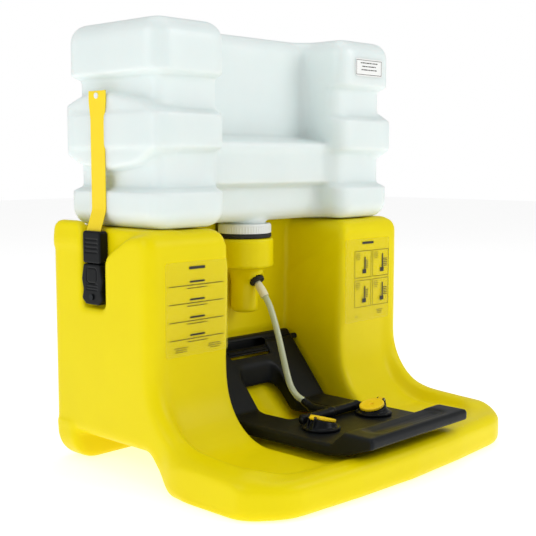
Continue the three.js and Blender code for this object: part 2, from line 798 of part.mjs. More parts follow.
pair(
  "anchor_rivet",
  join(
    bar([-CLIP.x0 - CLIP.thick - 1, ANCHOR.y, ANCHOR.z], [-CLIP.x0 + 9, ANCHOR.y, ANCHOR.z], ANCHOR.r, 16),
    bar(
      [-CLIP.x0 - CLIP.thick - 2, ANCHOR.y, ANCHOR.z],
      [-CLIP.x0 - CLIP.thick - GAP, ANCHOR.y, ANCHOR.z],
      4.5,
      20,
    ),
  ),
  BLACK,
);

// ---------------------------------------------------------------- swing-down arm
const ARM_FRONT = LIP_Y - 7;

// Upper side of the arm, [y, z, radius]: sloping legs, flat deck and a raised handle over the lip.
const DECK_END = PIVOT.y + 3 - (PIVOT.z + 14 - ARM.top) * 0.83;
const ARM_BACK = PIVOT.y + 15;
const ARM_TOP = [
  [ARM_BACK, PIVOT.z + 14, 6],
  [PIVOT.y + 3, PIVOT.z + 14, 6],
  [DECK_END, ARM.top, 6],
  [ARM_FRONT + 72, ARM.top, 5],
  [ARM_FRONT + 50, ARM.handleTop, 8],
  [ARM_FRONT, ARM.handleTop, 6],
];

function armSide() {
  const under = ARM.top - ARM.thick;
  return outline([
    ...ARM_TOP,
    [ARM_FRONT, ARM.handleTop - 15, 6],
    [ARM_FRONT + 46, under + 6, 10],
    [ARM_FRONT + 80, under, 10],
    [DECK_END + ARM.thick * 0.63, under, 8],
    [ARM_BACK, PIVOT.z - 14, 8],
  ]);
}

// Middle opening of the arm from above, [x, y].
function armOpening(t) {
  return inset(
    outline([
      [42, PIVOT.y - 32, 14],
      [42, PIVOT.y - 80, 6],
      [50, PIVOT.y - 100, 6],
      [50, HEAD.y + 70, 6],
      [-50, HEAD.y + 70, 6],
      [-50, PIVOT.y - 100, 6],
      [-42, PIVOT.y - 80, 6],
      [-42, PIVOT.y - 32, 14],
    ]),
    t,
  );
}

function arm() {
  const outer = alongX(armSide(), -ARM.half, ARM.half, 3, 2);
  // hollow under the skin, open below
  const below = outline([...ARM_TOP, [ARM_FRONT, -30], [ARM_BACK, -30]]);
  const hollow = alongX(inset(below, ARM_WALL), -ARM.half + ARM_WALL, ARM.half - ARM_WALL);
  const frame = alongZ(armOpening(-ARM_WALL), 0, SHELF_Z);
  const open = alongZ(armOpening(0), 0, SHELF_Z);
  const ear = (x) => bar([x - 7, PIVOT.y, PIVOT.z], [x + 7, PIVOT.y, PIVOT.z], PIVOT.r + 7);
  const ears = join(ear(-ARM.half + 7.5), ear(ARM.half - 7.5));
  const stems = [-HEAD.x, HEAD.x].map((x) => rod(13, ARM.top - 14, ARM.top - 1).translate(x, HEAD.y, 0));
  const scoop = (t) => {
    const axis = [ARM_FRONT + 30, ARM.handleTop + 36];
    return bar([-70 - t, ...axis], [70 + t, ...axis], 40 + t, 40);
  };
  const cavity = cut(hollow, frame, ears, ...stems, scoop(ARM_WALL));
  const pins = bar([-ARM.half - 5, PIVOT.y, PIVOT.z], [ARM.half + 5, PIVOT.y, PIVOT.z], PIVOT.r + GAP);
  const drops = [-HEAD.x, HEAD.x].map((x) => rod(9 + GAP, 0, SHELF_Z).translate(x, HEAD.y, 0));
  // pocket in the crossbar's face and thumb scoop in the handle
  const pocket = alongX(
    outline([
      [PIVOT.y + 1, PIVOT.z + 10, 1],
      [PIVOT.y - 24, PIVOT.z - 20, 1],
      [PIVOT.y - 47, PIVOT.z - 6],
      [PIVOT.y - 17, PIVOT.z + 34],
    ]),
    -46,
    46,
  );
  return cut(outer, cavity, open, pins, ...drops, pocket, scoop(0));
}
piece("arm_frame", arm(), BLACK);

pair(
  "pivot_pin",
  bar([-WELL_HALF - 12, PIVOT.y, PIVOT.z], [-ARM.half + 12, PIVOT.y, PIVOT.z], PIVOT.r),
  BLACK,
);

// Spray heads: a flat collar on the deck and a nozzle that leans towards the middle.
const NOZZLE = { foot: 24, top: 20, height: 12, bore: 16, stem: 9 };
const headFrame = (shape) =>
  shape
    .rotate([0, THREE.MathUtils.radToDeg(HEAD.tilt), 0])
    .translate(-HEAD.x, HEAD.y, ARM.top + GAP);

function nozzle() {
  const cup = headFrame(
    turned([
      [0, -9],
      [NOZZLE.foot + 1, -9],
      [NOZZLE.foot, 0],
      [NOZZLE.top, NOZZLE.height - 2],
      [NOZZLE.top - 1.5, NOZZLE.height],
      [0, NOZZLE.height],
    ]),
  );
  const above = block(-300, 300, -400, 300, ARM.top + GAP, SHELF_Z);
  const collar = turned([
    [0, 0],
    [28, 0],
    [28, 3],
    [26.5, 4.5],
    [0, 4.5],
  ]).translate(-HEAD.x, HEAD.y, ARM.top + GAP);
  const stem = rod(NOZZLE.stem, ARM.top - 16, ARM.top + 4).translate(-HEAD.x, HEAD.y, 0);
  const well = headFrame(
    turned([
      [0, NOZZLE.height - 7],
      [NOZZLE.bore, NOZZLE.height - 7],
      [NOZZLE.bore, NOZZLE.height + 6],
      [0, NOZZLE.height + 6],
    ]),
  );
  const feed = rod(5, ARM.top - 17, ARM.top + 8).translate(-HEAD.x, HEAD.y, 0);
  return cut(join(cup.intersect(above), collar, stem), well, feed);
}

function screen() {
  let disc = rod(NOZZLE.bore - GAP, NOZZLE.height - 7 + GAP, NOZZLE.height - 5);
  for (let k = 0; k < 6; k += 1) {
    const hole = rod(1.6, 0, NOZZLE.height, 8).translate(9, 0, 0);
    disc = disc.subtract(hole.rotate([0, 0, 60 * k]));
  }
  return headFrame(disc);
}

// Dust cap with a plug ring, hinged at the head's outer side.
const HINGE = { r: 1.5, x: -NOZZLE.top - 3.4, z: NOZZLE.height + 1.4 };
function dustCap() {
  const z0 = NOZZLE.height + GAP;
  const lid = turned([
    [0, z0],
    [18.2, z0],
    [19, z0 + 0.8],
    [19, z0 + 3.4],
    [17.8, z0 + 4.6],
    [2, z0 + 4.6],
    [1.4, z0 + 3.6],
    [0, z0 + 3.6],
  ]);
  const plug = ring(NOZZLE.bore - 1.2, NOZZLE.bore - 3, z0 - 2.5, z0 + 0.5);
  const tab = block(HINGE.x, -17, -4, 4, z0, z0 + 2.4);
  const barrel = bar([HINGE.x, -4, HINGE.z], [HINGE.x, 4, HINGE.z], 2.9, 20);
  const hole = bar([HINGE.x, -6, HINGE.z], [HINGE.x, 6, HINGE.z], HINGE.r + GAP, 16);
  return headFrame(cut(join(lid, plug, tab, barrel), hole));
}

function hingeLug() {
  const y = 4 + GAP;
  const lug = (a, b) => {
    const post = block(HINGE.x - 2.6, HINGE.x + 2.6, a, b, -6, HINGE.z);
    return join(post, bar([HINGE.x, a, HINGE.z], [HINGE.x, b, HINGE.z], 2.6, 20));
  };
  const hole = bar([HINGE.x, -9, HINGE.z], [HINGE.x, 9, HINGE.z], HINGE.r + GAP, 16);
  const lugs = headFrame(cut(join(lug(-y - 2.4, -y), lug(y, y + 2.4)), hole));
  return lugs.intersect(block(-300, 300, -400, 300, ARM.top + GAP, SHELF_Z));
}

// Manifold on the deck between the heads, with an elbow that meets the end of the supply tube.
const FEED = { y: HEAD.y + 34, z: ARM.top + GAP + 7.5, r: 7 };
const TUBE_END = [0, -16.5, 80.2];
const TUBE_AIM = [0, -0.911, -0.413];
const ELBOW = [
  [0, FEED.y, FEED.z],
  [0, FEED.y + 36, FEED.z],
  TUBE_END.map((place, axis) => place + GAP * TUBE_AIM[axis]),
];
function manifold() {
  const run = bar([-HEAD.x, FEED.y, FEED.z], [HEAD.x, FEED.y, FEED.z], FEED.r);
  const leg = (x) => bar([x, FEED.y, FEED.z], [x, HEAD.y + 26, FEED.z - 3], FEED.r);
  const ball = new THREE.SphereGeometry(FEED.r + 1, 14, 8).translate(...ELBOW[0]);
  const neck = bar(ELBOW[0], ELBOW[1], FEED.r);
  const nose = bar(ELBOW[1], ELBOW[2], FEED.r - 0.5);
  const knee = new THREE.SphereGeometry(FEED.r, 14, 8).translate(...ELBOW[1]);
  const deckCut = block(-300, 300, -400, 300, 0, ARM.top + GAP);
  const clear = [-HEAD.x, HEAD.x].map((x) => rod(28 + GAP, 0, SHELF_Z).translate(x, HEAD.y, 0));
  const whole = join(run, leg(-HEAD.x), leg(HEAD.x), solid(ball), neck, nose, solid(knee));
  return cut(whole, deckCut, ...clear);
}

const headBody = join(nozzle(), hingeLug());
pair("spray_head", headBody, BLACK);
pair("nozzle_screen", screen(), WHITE);
pair("dust_cap", dustCap(), CAP_YELLOW);
pair("cap_pin", headFrame(bar([HINGE.x, -7, HINGE.z], [HINGE.x, 7, HINGE.z], HINGE.r, 12)), STEEL);
piece("manifold", manifold(), BLACK);

// Supply tube from the grommet down to the elbow.
const TUBE_ROUTE = [
  [0, 83.6, 259.6],
  [0, 78.2, 250.9],
  [0, 67.5, 238],
  [0, 55.6, 222],
  [0, 46.5, 203],
  [0, 38.5, 182],
  [0, 31.2, 160],
  [0, 24.2, 138],
  [0, 17.4, 117],
  [0, 9.5, 99],
  [0, -1.5, 87],
  TUBE_END,
];
piece(
  "supply_tube",
  hose(
    new THREE.CatmullRomCurve3(TUBE_ROUTE.map((p) => new THREE.Vector3(...p)), false, "centripetal"),
    TUBE_D / 2,
    10,
    12,
  ),
  CLEAR_TUBE,
);

assembly.position.y = -(ARM_FRONT + BACK_Y) / 2;
export default assembly;
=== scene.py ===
import math

import bpy
import numpy as np
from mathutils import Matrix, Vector


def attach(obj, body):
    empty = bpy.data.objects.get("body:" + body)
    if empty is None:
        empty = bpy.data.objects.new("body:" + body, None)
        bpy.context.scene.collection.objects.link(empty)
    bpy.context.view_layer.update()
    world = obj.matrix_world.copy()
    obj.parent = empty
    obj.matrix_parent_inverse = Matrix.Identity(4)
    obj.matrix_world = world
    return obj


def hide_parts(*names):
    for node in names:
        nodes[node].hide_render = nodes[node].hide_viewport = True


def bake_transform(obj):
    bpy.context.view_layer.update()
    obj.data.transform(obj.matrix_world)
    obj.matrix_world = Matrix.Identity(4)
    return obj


# Looks of a portable gravity-fed eyewash station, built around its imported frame.
# The frame is in metres with +Z up; shapes here are worked out in millimetres.
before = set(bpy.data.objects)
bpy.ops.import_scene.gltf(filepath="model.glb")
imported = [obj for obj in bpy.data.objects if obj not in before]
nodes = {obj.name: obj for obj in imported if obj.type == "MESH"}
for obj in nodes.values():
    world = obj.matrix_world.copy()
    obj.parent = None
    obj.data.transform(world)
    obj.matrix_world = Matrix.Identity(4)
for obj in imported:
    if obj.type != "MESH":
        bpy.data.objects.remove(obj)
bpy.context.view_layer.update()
MM = 0.001


# ---------------------------------------------------------------- camera
CAMERA_AT = (-1.14732, -1.03099, 0.44731)
CAMERA_HEADING = 46.49
CAMERA_DOWN = 6.05
CAMERA_LENS = 68.2
camera_data = bpy.data.cameras.new("camera")
camera_data.lens = CAMERA_LENS
camera_data.sensor_width = 36
camera_data.clip_end = 30
camera = bpy.data.objects.new("camera", camera_data)
camera.location = CAMERA_AT
camera.rotation_euler = (math.radians(90 - CAMERA_DOWN), 0, math.radians(-CAMERA_HEADING))
bpy.context.scene.collection.objects.link(camera)
bpy.context.scene.camera = camera
# plain colours, without a film curve
bpy.context.scene.view_settings.view_transform = "Standard"


# ---------------------------------------------------------------- meshes
def mesh_object(name, vertices, faces, *finishes, smooth=True, face_finish=None):
    """A piece from points in millimetres, outside faces counter-clockwise."""
    data = bpy.data.meshes.new(name)
    points = np.asarray(vertices, float) * MM
    data.from_pydata(points.tolist(), [], [list(map(int, f)) for f in faces])
    data.update()
    for finish in finishes:
        data.materials.append(finish)
    if face_finish is not None:
        data.polygons.foreach_set("material_index", np.asarray(face_finish, np.int32))
    data.polygons.foreach_set("use_smooth", np.full(len(data.polygons), smooth))
    piece = bpy.data.objects.new(name, data)
    bpy.context.scene.collection.objects.link(piece)
    return piece


def settle(piece, body, slot, *replaced):
    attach(piece, body)
    if replaced:
        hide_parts(*replaced)
    return piece


def outline(corners, arc=8.0):
    """Closed outline from corners (a, b, radius), each rounded in steps of arc degrees."""
    points = []
    count = len(corners)
    for i, corner in enumerate(corners):
        p = np.array(corner[:2], float)
        r = corner[2] if len(corner) > 2 else 0
        if not r:
            points.append(p)
            continue
        u = np.array(corners[i - 1][:2], float) - p
        v = np.array(corners[(i + 1) % count][:2], float) - p
        u /= np.linalg.norm(u)
        v /= np.linalg.norm(v)
        half = math.acos(float(np.clip(u @ v, -1, 1))) / 2
        bisector = (u + v) / np.linalg.norm(u + v)
        centre = p + bisector * r / math.sin(half)
        start = p + u * r / math.tan(half) - centre
        end = p + v * r / math.tan(half) - centre
        sweep = math.atan2(start[0] * end[1] - start[1] * end[0], float(start @ end))
        steps = max(1, math.ceil(abs(math.degrees(sweep)) / arc))
        for k in range(steps + 1):
            c, s = math.cos(sweep * k / steps), math.sin(sweep * k / steps)
            points.append(centre + [start[0] * c - start[1] * s, start[0] * s + start[1] * c])
    return np.array(points)


# ---------------------------------------------------------------- distance fields, in millimetres
def polygon(points, a, b):
    """Signed distance to a closed outline, negative inside."""
    shape = np.broadcast(a, b).shape
    nearest = np.full(shape, 1e9, np.float32)
    inside = np.zeros(shape, bool)
    for p, q in zip(points, np.roll(points, -1, axis=0)):
        ex, ey = q - p
        length = ex * ex + ey * ey
        if length < 1e-9:
            continue
        ax, by = a - p[0], b - p[1]
        t = np.clip((ax * ex + by * ey) / length, 0, 1)
        nearest = np.minimum(nearest, (ax - t * ex) ** 2 + (by - t * ey) ** 2)
        crosses = ((p[1] <= b) & (q[1] > b)) | ((q[1] <= b) & (p[1] > b))
        if abs(ey) > 1e-9:
            inside ^= crosses & (a < p[0] + (b - p[1]) * ex / ey)
    return np.where(inside, -np.sqrt(nearest), np.sqrt(nearest))


def between(w, low, high):
    return np.abs(w - (low + high) / 2) - (high - low) / 2


def rounded_both(a, b, r):
    """Where both hold, the edge between them rounded by r."""
    a, b = a + r, b + r
    return np.minimum(np.maximum(a, b), 0) + np.hypot(np.maximum(a, 0), np.maximum(b, 0)) - r


def either(a, b, k):
    """Where one holds, with a fillet of about k."""
    h = np.maximum(k - np.abs(a - b), 0) / k
    return np.minimum(a, b) - h * h * k / 4


def both(a, b, k):
    return -either(-a, -b, k)


def without(a, b, k):
    return -either(-a, b, k)


def step(value, width):
    """0 below, 1 above, with a soft ramp of that width about zero."""
    t = np.clip(value / width + 0.5, 0, 1)
    return t * t * (3 - 2 * t)


def capsule(x, y, z, a, b, r):
    """Distance to a round bar from a to b."""
    a, b = np.array(a, float), np.array(b, float)
    d = b - a
    t = ((x - a[0]) * d[0] + (y - a[1]) * d[1] + (z - a[2]) * d[2]) / (d @ d)
    t = np.clip(t, 0, 1)
    return np.sqrt((x - a[0] - t * d[0]) ** 2 + (y - a[1] - t * d[1]) ** 2 + (z - a[2] - t * d[2]) ** 2) - r


def disc(x, y, z, a, b, r, edge):
    """Distance to a flat-ended cylinder from a to b, its edges rounded."""
    a, b = np.array(a, float), np.array(b, float)
    length = np.linalg.norm(b - a)
    d = (b - a) / length
    s = (x - a[0]) * d[0] + (y - a[1]) * d[1] + (z - a[2]) * d[2]
    away = (x - a[0] - s * d[0]) ** 2 + (y - a[1] - s * d[1]) ** 2 + (z - a[2] - s * d[2]) ** 2
    return rounded_both(np.sqrt(away) - r, between(s, 0, length), edge)


def skin(name, field, low, high, pitch, *finishes):
    """A piece whose surface is the field's zero: one vertex in each cell that it crosses."""
    axes = [np.arange(a - 1.6 * pitch, b + 2.6 * pitch, pitch, dtype=np.float32) for a, b in zip(low, high)]
    x, y, z = axes[0][:, None, None], axes[1][None, :, None], axes[2][None, None, :]
    values = np.ascontiguousarray(np.broadcast_to(field(x, y, z), [len(a) for a in axes]), np.float32)
    inside = values < 0
    count = np.zeros([n - 1 for n in values.shape], np.uint8)
    for i in (0, 1):
        for j in (0, 1):
            for k in (0, 1):
                count += inside[i : i - 1 or None, j : j - 1 or None, k : k - 1 or None]
    crossed = (count > 0) & (count < 8)
    index = np.full(crossed.shape, -1, np.int64)
    index[crossed] = np.arange(int(crossed.sum()))
    places = np.argwhere(crossed).astype(np.float64) + 0.5
    slopes = np.gradient(values)
    limit = np.array(values.shape) - 1.001

    def sample(grid, p):
        base = np.clip(p, 0, limit)
        cell = base.astype(int)
        t = base - cell
        total = 0
        for i in (0, 1):
            for j in (0, 1):
                for k in (0, 1):
                    weight = np.abs(1 - i - t[:, 0]) * np.abs(1 - j - t[:, 1]) * np.abs(1 - k - t[:, 2])
                    total = total + weight * grid[cell[:, 0] + i, cell[:, 1] + j, cell[:, 2] + k]
        return total

    for _ in range(4):
        slope = np.stack([sample(s, places) for s in slopes], axis=1)
        move = sample(values, places)[:, None] * slope / np.maximum((slope**2).sum(1), 1e-6)[:, None]
        places -= np.clip(move, -0.8, 0.8)
    faces = []
    for axis in range(3):
        first = [slice(1, -1)] * 3
        second = [slice(1, -1)] * 3
        first[axis], second[axis] = slice(0, -1), slice(1, None)
        enters = inside[tuple(first)] & ~inside[tuple(second)]
        leaves = ~inside[tuple(first)] & inside[tuple(second)]
        for mask, flip in ((enters, False), (leaves, True)):
            at = np.argwhere(mask)
            others = [n for n in range(3) if n != axis]
            at[:, others] += 1
            ring = []
            for u, v in ((-1, -1), (0, -1), (0, 0), (-1, 0)):
                cell = at.copy()
                cell[:, others[0]] += u
                cell[:, others[1]] += v
                ring.append(index[cell[:, 0], cell[:, 1], cell[:, 2]])
            quads = np.stack(ring, axis=1)
            if flip != (axis == 1):
                quads = quads[:, ::-1]
            faces.append(quads)
    faces = np.concatenate(faces)
    origin = np.array([a[0] for a in axes])
    return mesh_object(name, origin + places * pitch, faces, *finishes)


def turned(name, profile, sides, place, *finishes, face_finish=None):
    """A turned piece from (radius, height) pairs that start and end on the axis, moved by place."""
    vertices, faces, rings = [], [], []
    for r, z in profile:
        if r < 1e-6:
            rings.append([len(vertices)] * sides)
            vertices.append((0, 0, z))
            continue
        rings.append(list(range(len(vertices), len(vertices) + sides)))
        for k in range(sides):
            turn = 2 * math.pi * k / sides
            vertices.append((r * math.cos(turn), r * math.sin(turn), z))
    for a, b in zip(rings, rings[1:]):
        for k in range(sides):
            n = (k + 1) % sides
            face = [a[k], a[n], b[n], b[k]]
            face = [v for i, v in enumerate(face) if v != face[i - 1]]
            if len(set(face)) > 2:
                faces.append(face)
    return mesh_object(name, place(np.array(vertices, float)), faces, *finishes, face_finish=face_finish)


def arc(cx, cy, r, start, end, steps=4):
    """Points of a profile's arc, angles in degrees."""
    return [
        (cx + r * math.cos(math.radians(start + (end - start) * k / steps)),
         cy + r * math.sin(math.radians(start + (end - start) * k / steps)))
        for k in range(steps + 1)
    ]


# ---------------------------------------------------------------- materials
def linear(code, alpha=1.0):
    """An sRGB hex colour as linear light."""
    parts = [int(code[i : i + 2], 16) / 255 for i in (1, 3, 5)]
    return [c / 12.92 if c <= 0.04045 else ((c + 0.055) / 1.055) ** 2.4 for c in parts] + [alpha]


def per(size_mm):
    """Texture scale for a feature of that size, on coordinates in metres."""
    return 1000 / size_mm


def add(tree, kind, inputs=(), **settings):
    """Adds a node; inputs maps a socket's name or number to a value or to another node's socket."""
    node = tree.nodes.new(kind)
    for key, value in settings.items():
        setattr(node, key, value)
    for key, value in dict(inputs).items():
        if isinstance(value, bpy.types.NodeSocket):
            tree.links.new(value, node.inputs[key])
        else:
            node.inputs[key].default_value = value
    return node


def finish(
    name, colour, mottle, roughness, grain_mm, grain_depth_mm, ior=1.5, mottle_mm=45, painted_edge_highlight_and_wear=None, **shader
):
    """A moulded or cast surface: two near colours mottled together, a grained bump, uneven gloss."""
    material = bpy.data.materials.new(name)
    material.use_nodes = True
    tree = material.node_tree
    tree.nodes.clear()
    place = add(tree, "ShaderNodeTexCoord").outputs["Object"]
    patches = add(tree, "ShaderNodeTexNoise", {"Vector": place, "Scale": per(mottle_mm), "Detail": 3.0})
    # a Mix node has A and B once for each type, so its colour sockets go by number: 6, 7 and output 2
    blend = {0: patches.outputs["Fac"], 6: linear(colour), 7: linear(mottle)}
    shade = add(tree, "ShaderNodeMix", blend, data_type="RGBA").outputs[2]
    if painted_edge_highlight_and_wear:
        # the outside edges painted a little paler: a painted edge highlight, with some handling wear as well
        edge = add(tree, "ShaderNodeNewGeometry").outputs["Pointiness"]
        edge_highlight_amount = add(
            tree, "ShaderNodeMapRange", {"Value": edge, "From Min": 0.53, "From Max": 0.62, "To Max": 0.5}
        )
        blend = {0: edge_highlight_amount.outputs["Result"], 6: shade, 7: linear(painted_edge_highlight_and_wear)}
        shade = add(tree, "ShaderNodeMix", blend, data_type="RGBA").outputs[2]
    haze = add(tree, "ShaderNodeTexNoise", {"Vector": place, "Scale": per(mottle_mm / 3), "Detail": 4.0})
    gloss = add(
        tree,
        "ShaderNodeMapRange",
        {"Value": haze.outputs["Fac"], "To Min": roughness * 0.85, "To Max": roughness * 1.15},
    )
    grain = add(tree, "ShaderNodeTexNoise", {"Vector": place, "Scale": per(grain_mm), "Detail": 2.0})
    bump = add(
        tree,
        "ShaderNodeBump",
        {"Height": grain.outputs["Fac"], "Distance": grain_depth_mm * MM, "Strength": 1.0},
    )
    body = add(
        tree,
        "ShaderNodeBsdfPrincipled",
        {
            "Base Color": shade,
            "Roughness": gloss.outputs["Result"],
            "IOR": ior,
            "Normal": bump.outputs["Normal"],
            **shader,
        },
    )
    add(tree, "ShaderNodeOutputMaterial", {"Surface": body.outputs["BSDF"]})
    return material


# Rotationally moulded polyethylene: coloured through, glossy, with a faint orange peel drawn at 5 mm; its
# outside edges are painted paler, a painted highlight with a little wear.
yellow_polyethylene = finish(
    "rotomoulded_polyethylene_yellow", "#F2E000", "#ECD800", 0.38, 5, 0.05, 1.51, 60, "#F7EE4A",
    **{
        "Subsurface Weight": 0.1,
        "Subsurface Radius": (0.012, 0.009, 0.002),
        "Subsurface Scale": 1.0,
        "Specular IOR Level": 0.14,
    },
)
# Blow-moulded natural polyethylene: milky, light spreads in the wall, soft gloss.
natural_polyethylene = finish(
    "blow_moulded_polyethylene_natural", "#EAF3F1", "#E2ECEB", 0.34, 7, 0.06, 1.51, 70, None,
    **{"Subsurface Weight": 0.55, "Subsurface Radius": (0.02, 0.024, 0.025), "Subsurface Scale": 1.0},
)
# Injection-moulded ABS with a fine spark-eroded texture, drawn at 1.6 mm: satin black, its edges painted
# bluish grey, a painted edge highlight with some rub wear.
DULL = {"Specular IOR Level": 0.15}
black_abs = finish(
    "injection_moulded_abs_black", "#0B0E10", "#101316", 0.42, 1.6, 0.035, 1.53, 30, "#262C32", **DULL
)
# Acetal of the buckles: smoother and a little shinier than the arm, its edges painted grey as a painted
# highlight with some rub wear.
black_acetal = finish(
    "moulded_acetal_black", "#0A0C0E", "#0F1214", 0.34, 1.4, 0.02, 1.48, 18, "#262B30", **DULL
)
# Pressed EPDM rubber: matte, slightly dusty.
black_rubber = finish("pressed_epdm_black", "#101214", "#1B1D1F", 0.72, 1.2, 0.04, 1.5, 12, None)
# Injection-moulded polypropylene of the cap and valve: white, waxy, with a soft satin gloss.
white_polypropylene = finish(
    "moulded_polypropylene_white", "#F1F4F3", "#E9EDEC", 0.38, 2.0, 0.03, 1.49, 25, None
)
# Moulded ABS of the dust caps: a warmer, harder yellow than the stand, its edges painted paler, a painted
# highlight with some finger wear.
yellow_abs = finish(
    "moulded_abs_golden_yellow",
    "#FFDA14",
    "#FAD10C",
    0.4,
    1.4,
    0.03,
    1.53,
    14,
    "#FCE560",
    **{"Specular IOR Level": 0.35},
)
# Moulded polyurethane strap: flat sheen with a faint lengthwise grain.
strap_polyurethane = finish(
    "moulded_polyurethane_strap_yellow", "#FFE216", "#FBDA0C", 0.5, 1.8, 0.05, 1.5, 22, None
)
# Extruded clear PVC: faintly yellow-green, lets light through and shines along its length.
clear_pvc = finish(
    "extruded_pvc_tube_clear", "#F0F6D8", "#E4ECC6", 0.16, 9, 0.05, 1.53, 24, None,
    **{"Transmission Weight": 0.45},
)
# Cast silicone: cream, satin, with no sharp highlight.
cream_rubber = finish("cast_silicone_cream", "#F3EDCF", "#EAE2BE", 0.5, 3, 0.03, 1.42, 10, None)
# Clear polyester film on the stand: a slightly smoother, darker patch with the yellow showing through.
clear_film = finish(
    "polyester_film_clear", "#F2E60A", "#F0E404", 0.2, 12, 0.01, 1.57, 40, None, **{"Alpha": 0.14},
)
# White polyester film: flat and even, brighter than the tank behind it.
white_film = finish("polyester_film_white", "#FAFAF8", "#F2F3F1", 0.3, 10, 0.01, 1.57, 30, None)
# Screen-printed ink: warm black with a dull gloss, standing a little proud of its film.
black_ink = finish("screen_printed_ink_black", "#1B1A12", "#26241A", 0.5, 2, 0.01, 1.5, 15, None)
# Drawn stainless wire: bright metal with fine uneven gloss.
spring_steel = finish(
    "drawn_stainless_wire", "#B9BDC1", "#A9ADB1", 0.28, 1.0, 0.01, 1.5, 8, None, **{"Metallic": 1.0},
)

for members, material in (
    (
        ("vent_plug", "anchor_rivet_left", "anchor_rivet_right", "pivot_pin_left", "pivot_pin_right"),
        black_acetal,
    ),
    (
        ("valve_probe", "valve_poppet", "spring_cage", "strap_stud_left", "strap_stud_right"),
        white_polypropylene,
    ),
    (("nozzle_screen_left", "nozzle_screen_right"), white_polypropylene),
    (("valve_seal",), black_rubber),
    (("valve_spring", "cap_pin_left", "cap_pin_right"), spring_steel),
):
    for member in members:
        nodes[member].material_slots[0].material = material


# ---------------------------------------------------------------- supply tube
TUBE_ROUTE = [
    (0, 83.6, 259.6), (0, 78.2, 250.9), (0, 67.5, 238), (0, 55.6, 222), (0, 46.5, 203), (0, 38.5, 182),
    (0, 31.2, 160), (0, 24.2, 138), (0, 17.4, 117), (0, 9.5, 99), (0, -1.5, 87), (0, -16.5, 80.2),
]
TUBE_R = 5.0
TUBE_WALL = 1.5


def smooth_path(points, parts=6):
    """A centripetal Catmull-Rom line through the points."""
    p = [np.array(q, float) for q in points]
    p = [2 * p[0] - p[1], *p, 2 * p[-1] - p[-2]]
    line = []
    for a, b, c, d in zip(p, p[1:], p[2:], p[3:]):
        t = np.cumsum([0, *(max(np.linalg.norm(v - u), 1e-6) ** 0.5 for u, v in ((a, b), (b, c), (c, d)))])
        for s in np.linspace(t[1], t[2], parts, endpoint=False):
            e = (t[1] - s) / (t[1] - t[0]) * a + (s - t[0]) / (t[1] - t[0]) * b
            f = (t[2] - s) / (t[2] - t[1]) * b + (s - t[1]) / (t[2] - t[1]) * c
            g = (t[3] - s) / (t[3] - t[2]) * c + (s - t[2]) / (t[3] - t[2]) * d
            h = (t[2] - s) / (t[2] - t[0]) * e + (s - t[0]) / (t[2] - t[0]) * f
            i = (t[3] - s) / (t[3] - t[1]) * f + (s - t[1]) / (t[3] - t[1]) * g
            line.append((t[2] - s) / (t[2] - t[1]) * h + (s - t[1]) / (t[2] - t[1]) * i)
    return np.array([*line, p[-2]])


def pipe(name, line, outer, inner, sides, *finishes):
    """A tube with a bore along a line that never runs straight up."""
    vertices, rings = [], []
    ahead = np.gradient(line, axis=0)
    ahead /= np.linalg.norm(ahead, axis=1)[:, None]
    for radii in (outer, inner):
        for at, way, r in zip(line, ahead, np.broadcast_to(radii, len(line))):
            side = np.cross(way, (0, 0, 1))
            side /= np.linalg.norm(side)
            up = np.cross(way, side)
            rings.append(len(vertices))
            for k in range(sides):
                turn = 2 * math.pi * k / sides
                vertices.append(at + r * (math.cos(turn) * side + math.sin(turn) * up))
    faces = []
    count = len(line)

    def band(a, b, flip):
        for k in range(sides):
            n = (k + 1) % sides
            face = [a + k, a + n, b + n, b + k]
            faces.append(face if flip else face[::-1])

    for i in range(count - 1):
        band(rings[i], rings[i + 1], True)
        band(rings[count + i], rings[count + i + 1], False)
    band(rings[0], rings[count], False)
    band(rings[count - 1], rings[2 * count - 1], True)
    return mesh_object(name, vertices, faces, *finishes)


tube_line = smooth_path(TUBE_ROUTE)
supply_tube = pipe("clear_supply_tube", tube_line, TUBE_R, TUBE_R - TUBE_WALL, 24, clear_pvc)
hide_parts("supply_tube")
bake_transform(supply_tube)

# Cream sleeve over the tube's upper end, swelling a little away from the grommet.
SLEEVE_STEPS = 20
sleeve_line = smooth_path(TUBE_ROUTE, 12)[8 : 8 + SLEEVE_STEPS]
sleeve = pipe(
    "tube_sleeve", sleeve_line, 5.5 + 1.3 * np.sin(
        np.linspace(0, 2.4, SLEEVE_STEPS)
    ), TUBE_R + 0.08, 32, cream_rubber
)
settle(sleeve, "base", "clear_tube")


# ---------------------------------------------------------------- receiver
# half widths of the stand over its wings and of the well between them
WING_X, WELL_X = 280.0, 125.0
WING_SIDE = outline([
    (238, 46, 20), (238, 352, 22), (12, 352, 25), (12, 70, 97), (-171, 50, 20), (-171, 1, 20),
    (-16, 1, 40), (24, 46, 22),
])
BOWL_PLAN = outline([
    (279, -24, 20), (291, -68, 60), (291, -213, 78), (0, -236, 1500), (-291, -213, 78), (-291, -68, 60),
    (-279, -24, 20),
])
DISH_PLAN = outline([(250, 72), (250, -177, 66), (0, -202, 1300), (-250, -177, 66), (-250, 72)])
SEAT_SIDE = outline([(-18, 452), (12, 167), (12, 44, 85), (-281, 44), (-281, 452)])
WELL_SIDE = outline(
    [(137, 452), (137, 126), (54, 46, 8), (46, 36, 14), (-131, 36, 30), (-169, 45), (-169, 452)]
)
WELL_TOP = outline(
    [
        (125, -60),
        (125, 353, 32),
        (210, 353),
        (210, 600),
        (-210, 600),
        (-210, 353),
        (-125, 353, 32),
        (-125, -60),
    ]
)
SLOT_SIDE = outline(
    [
        (162, 238, 8),
        (162, 452),
        (-20, 452),
        (-20, 356),
        (8, 353),
        (60, 342, 40),
        (111, 312, 24),
        (111, 238, 8),
    ]
)
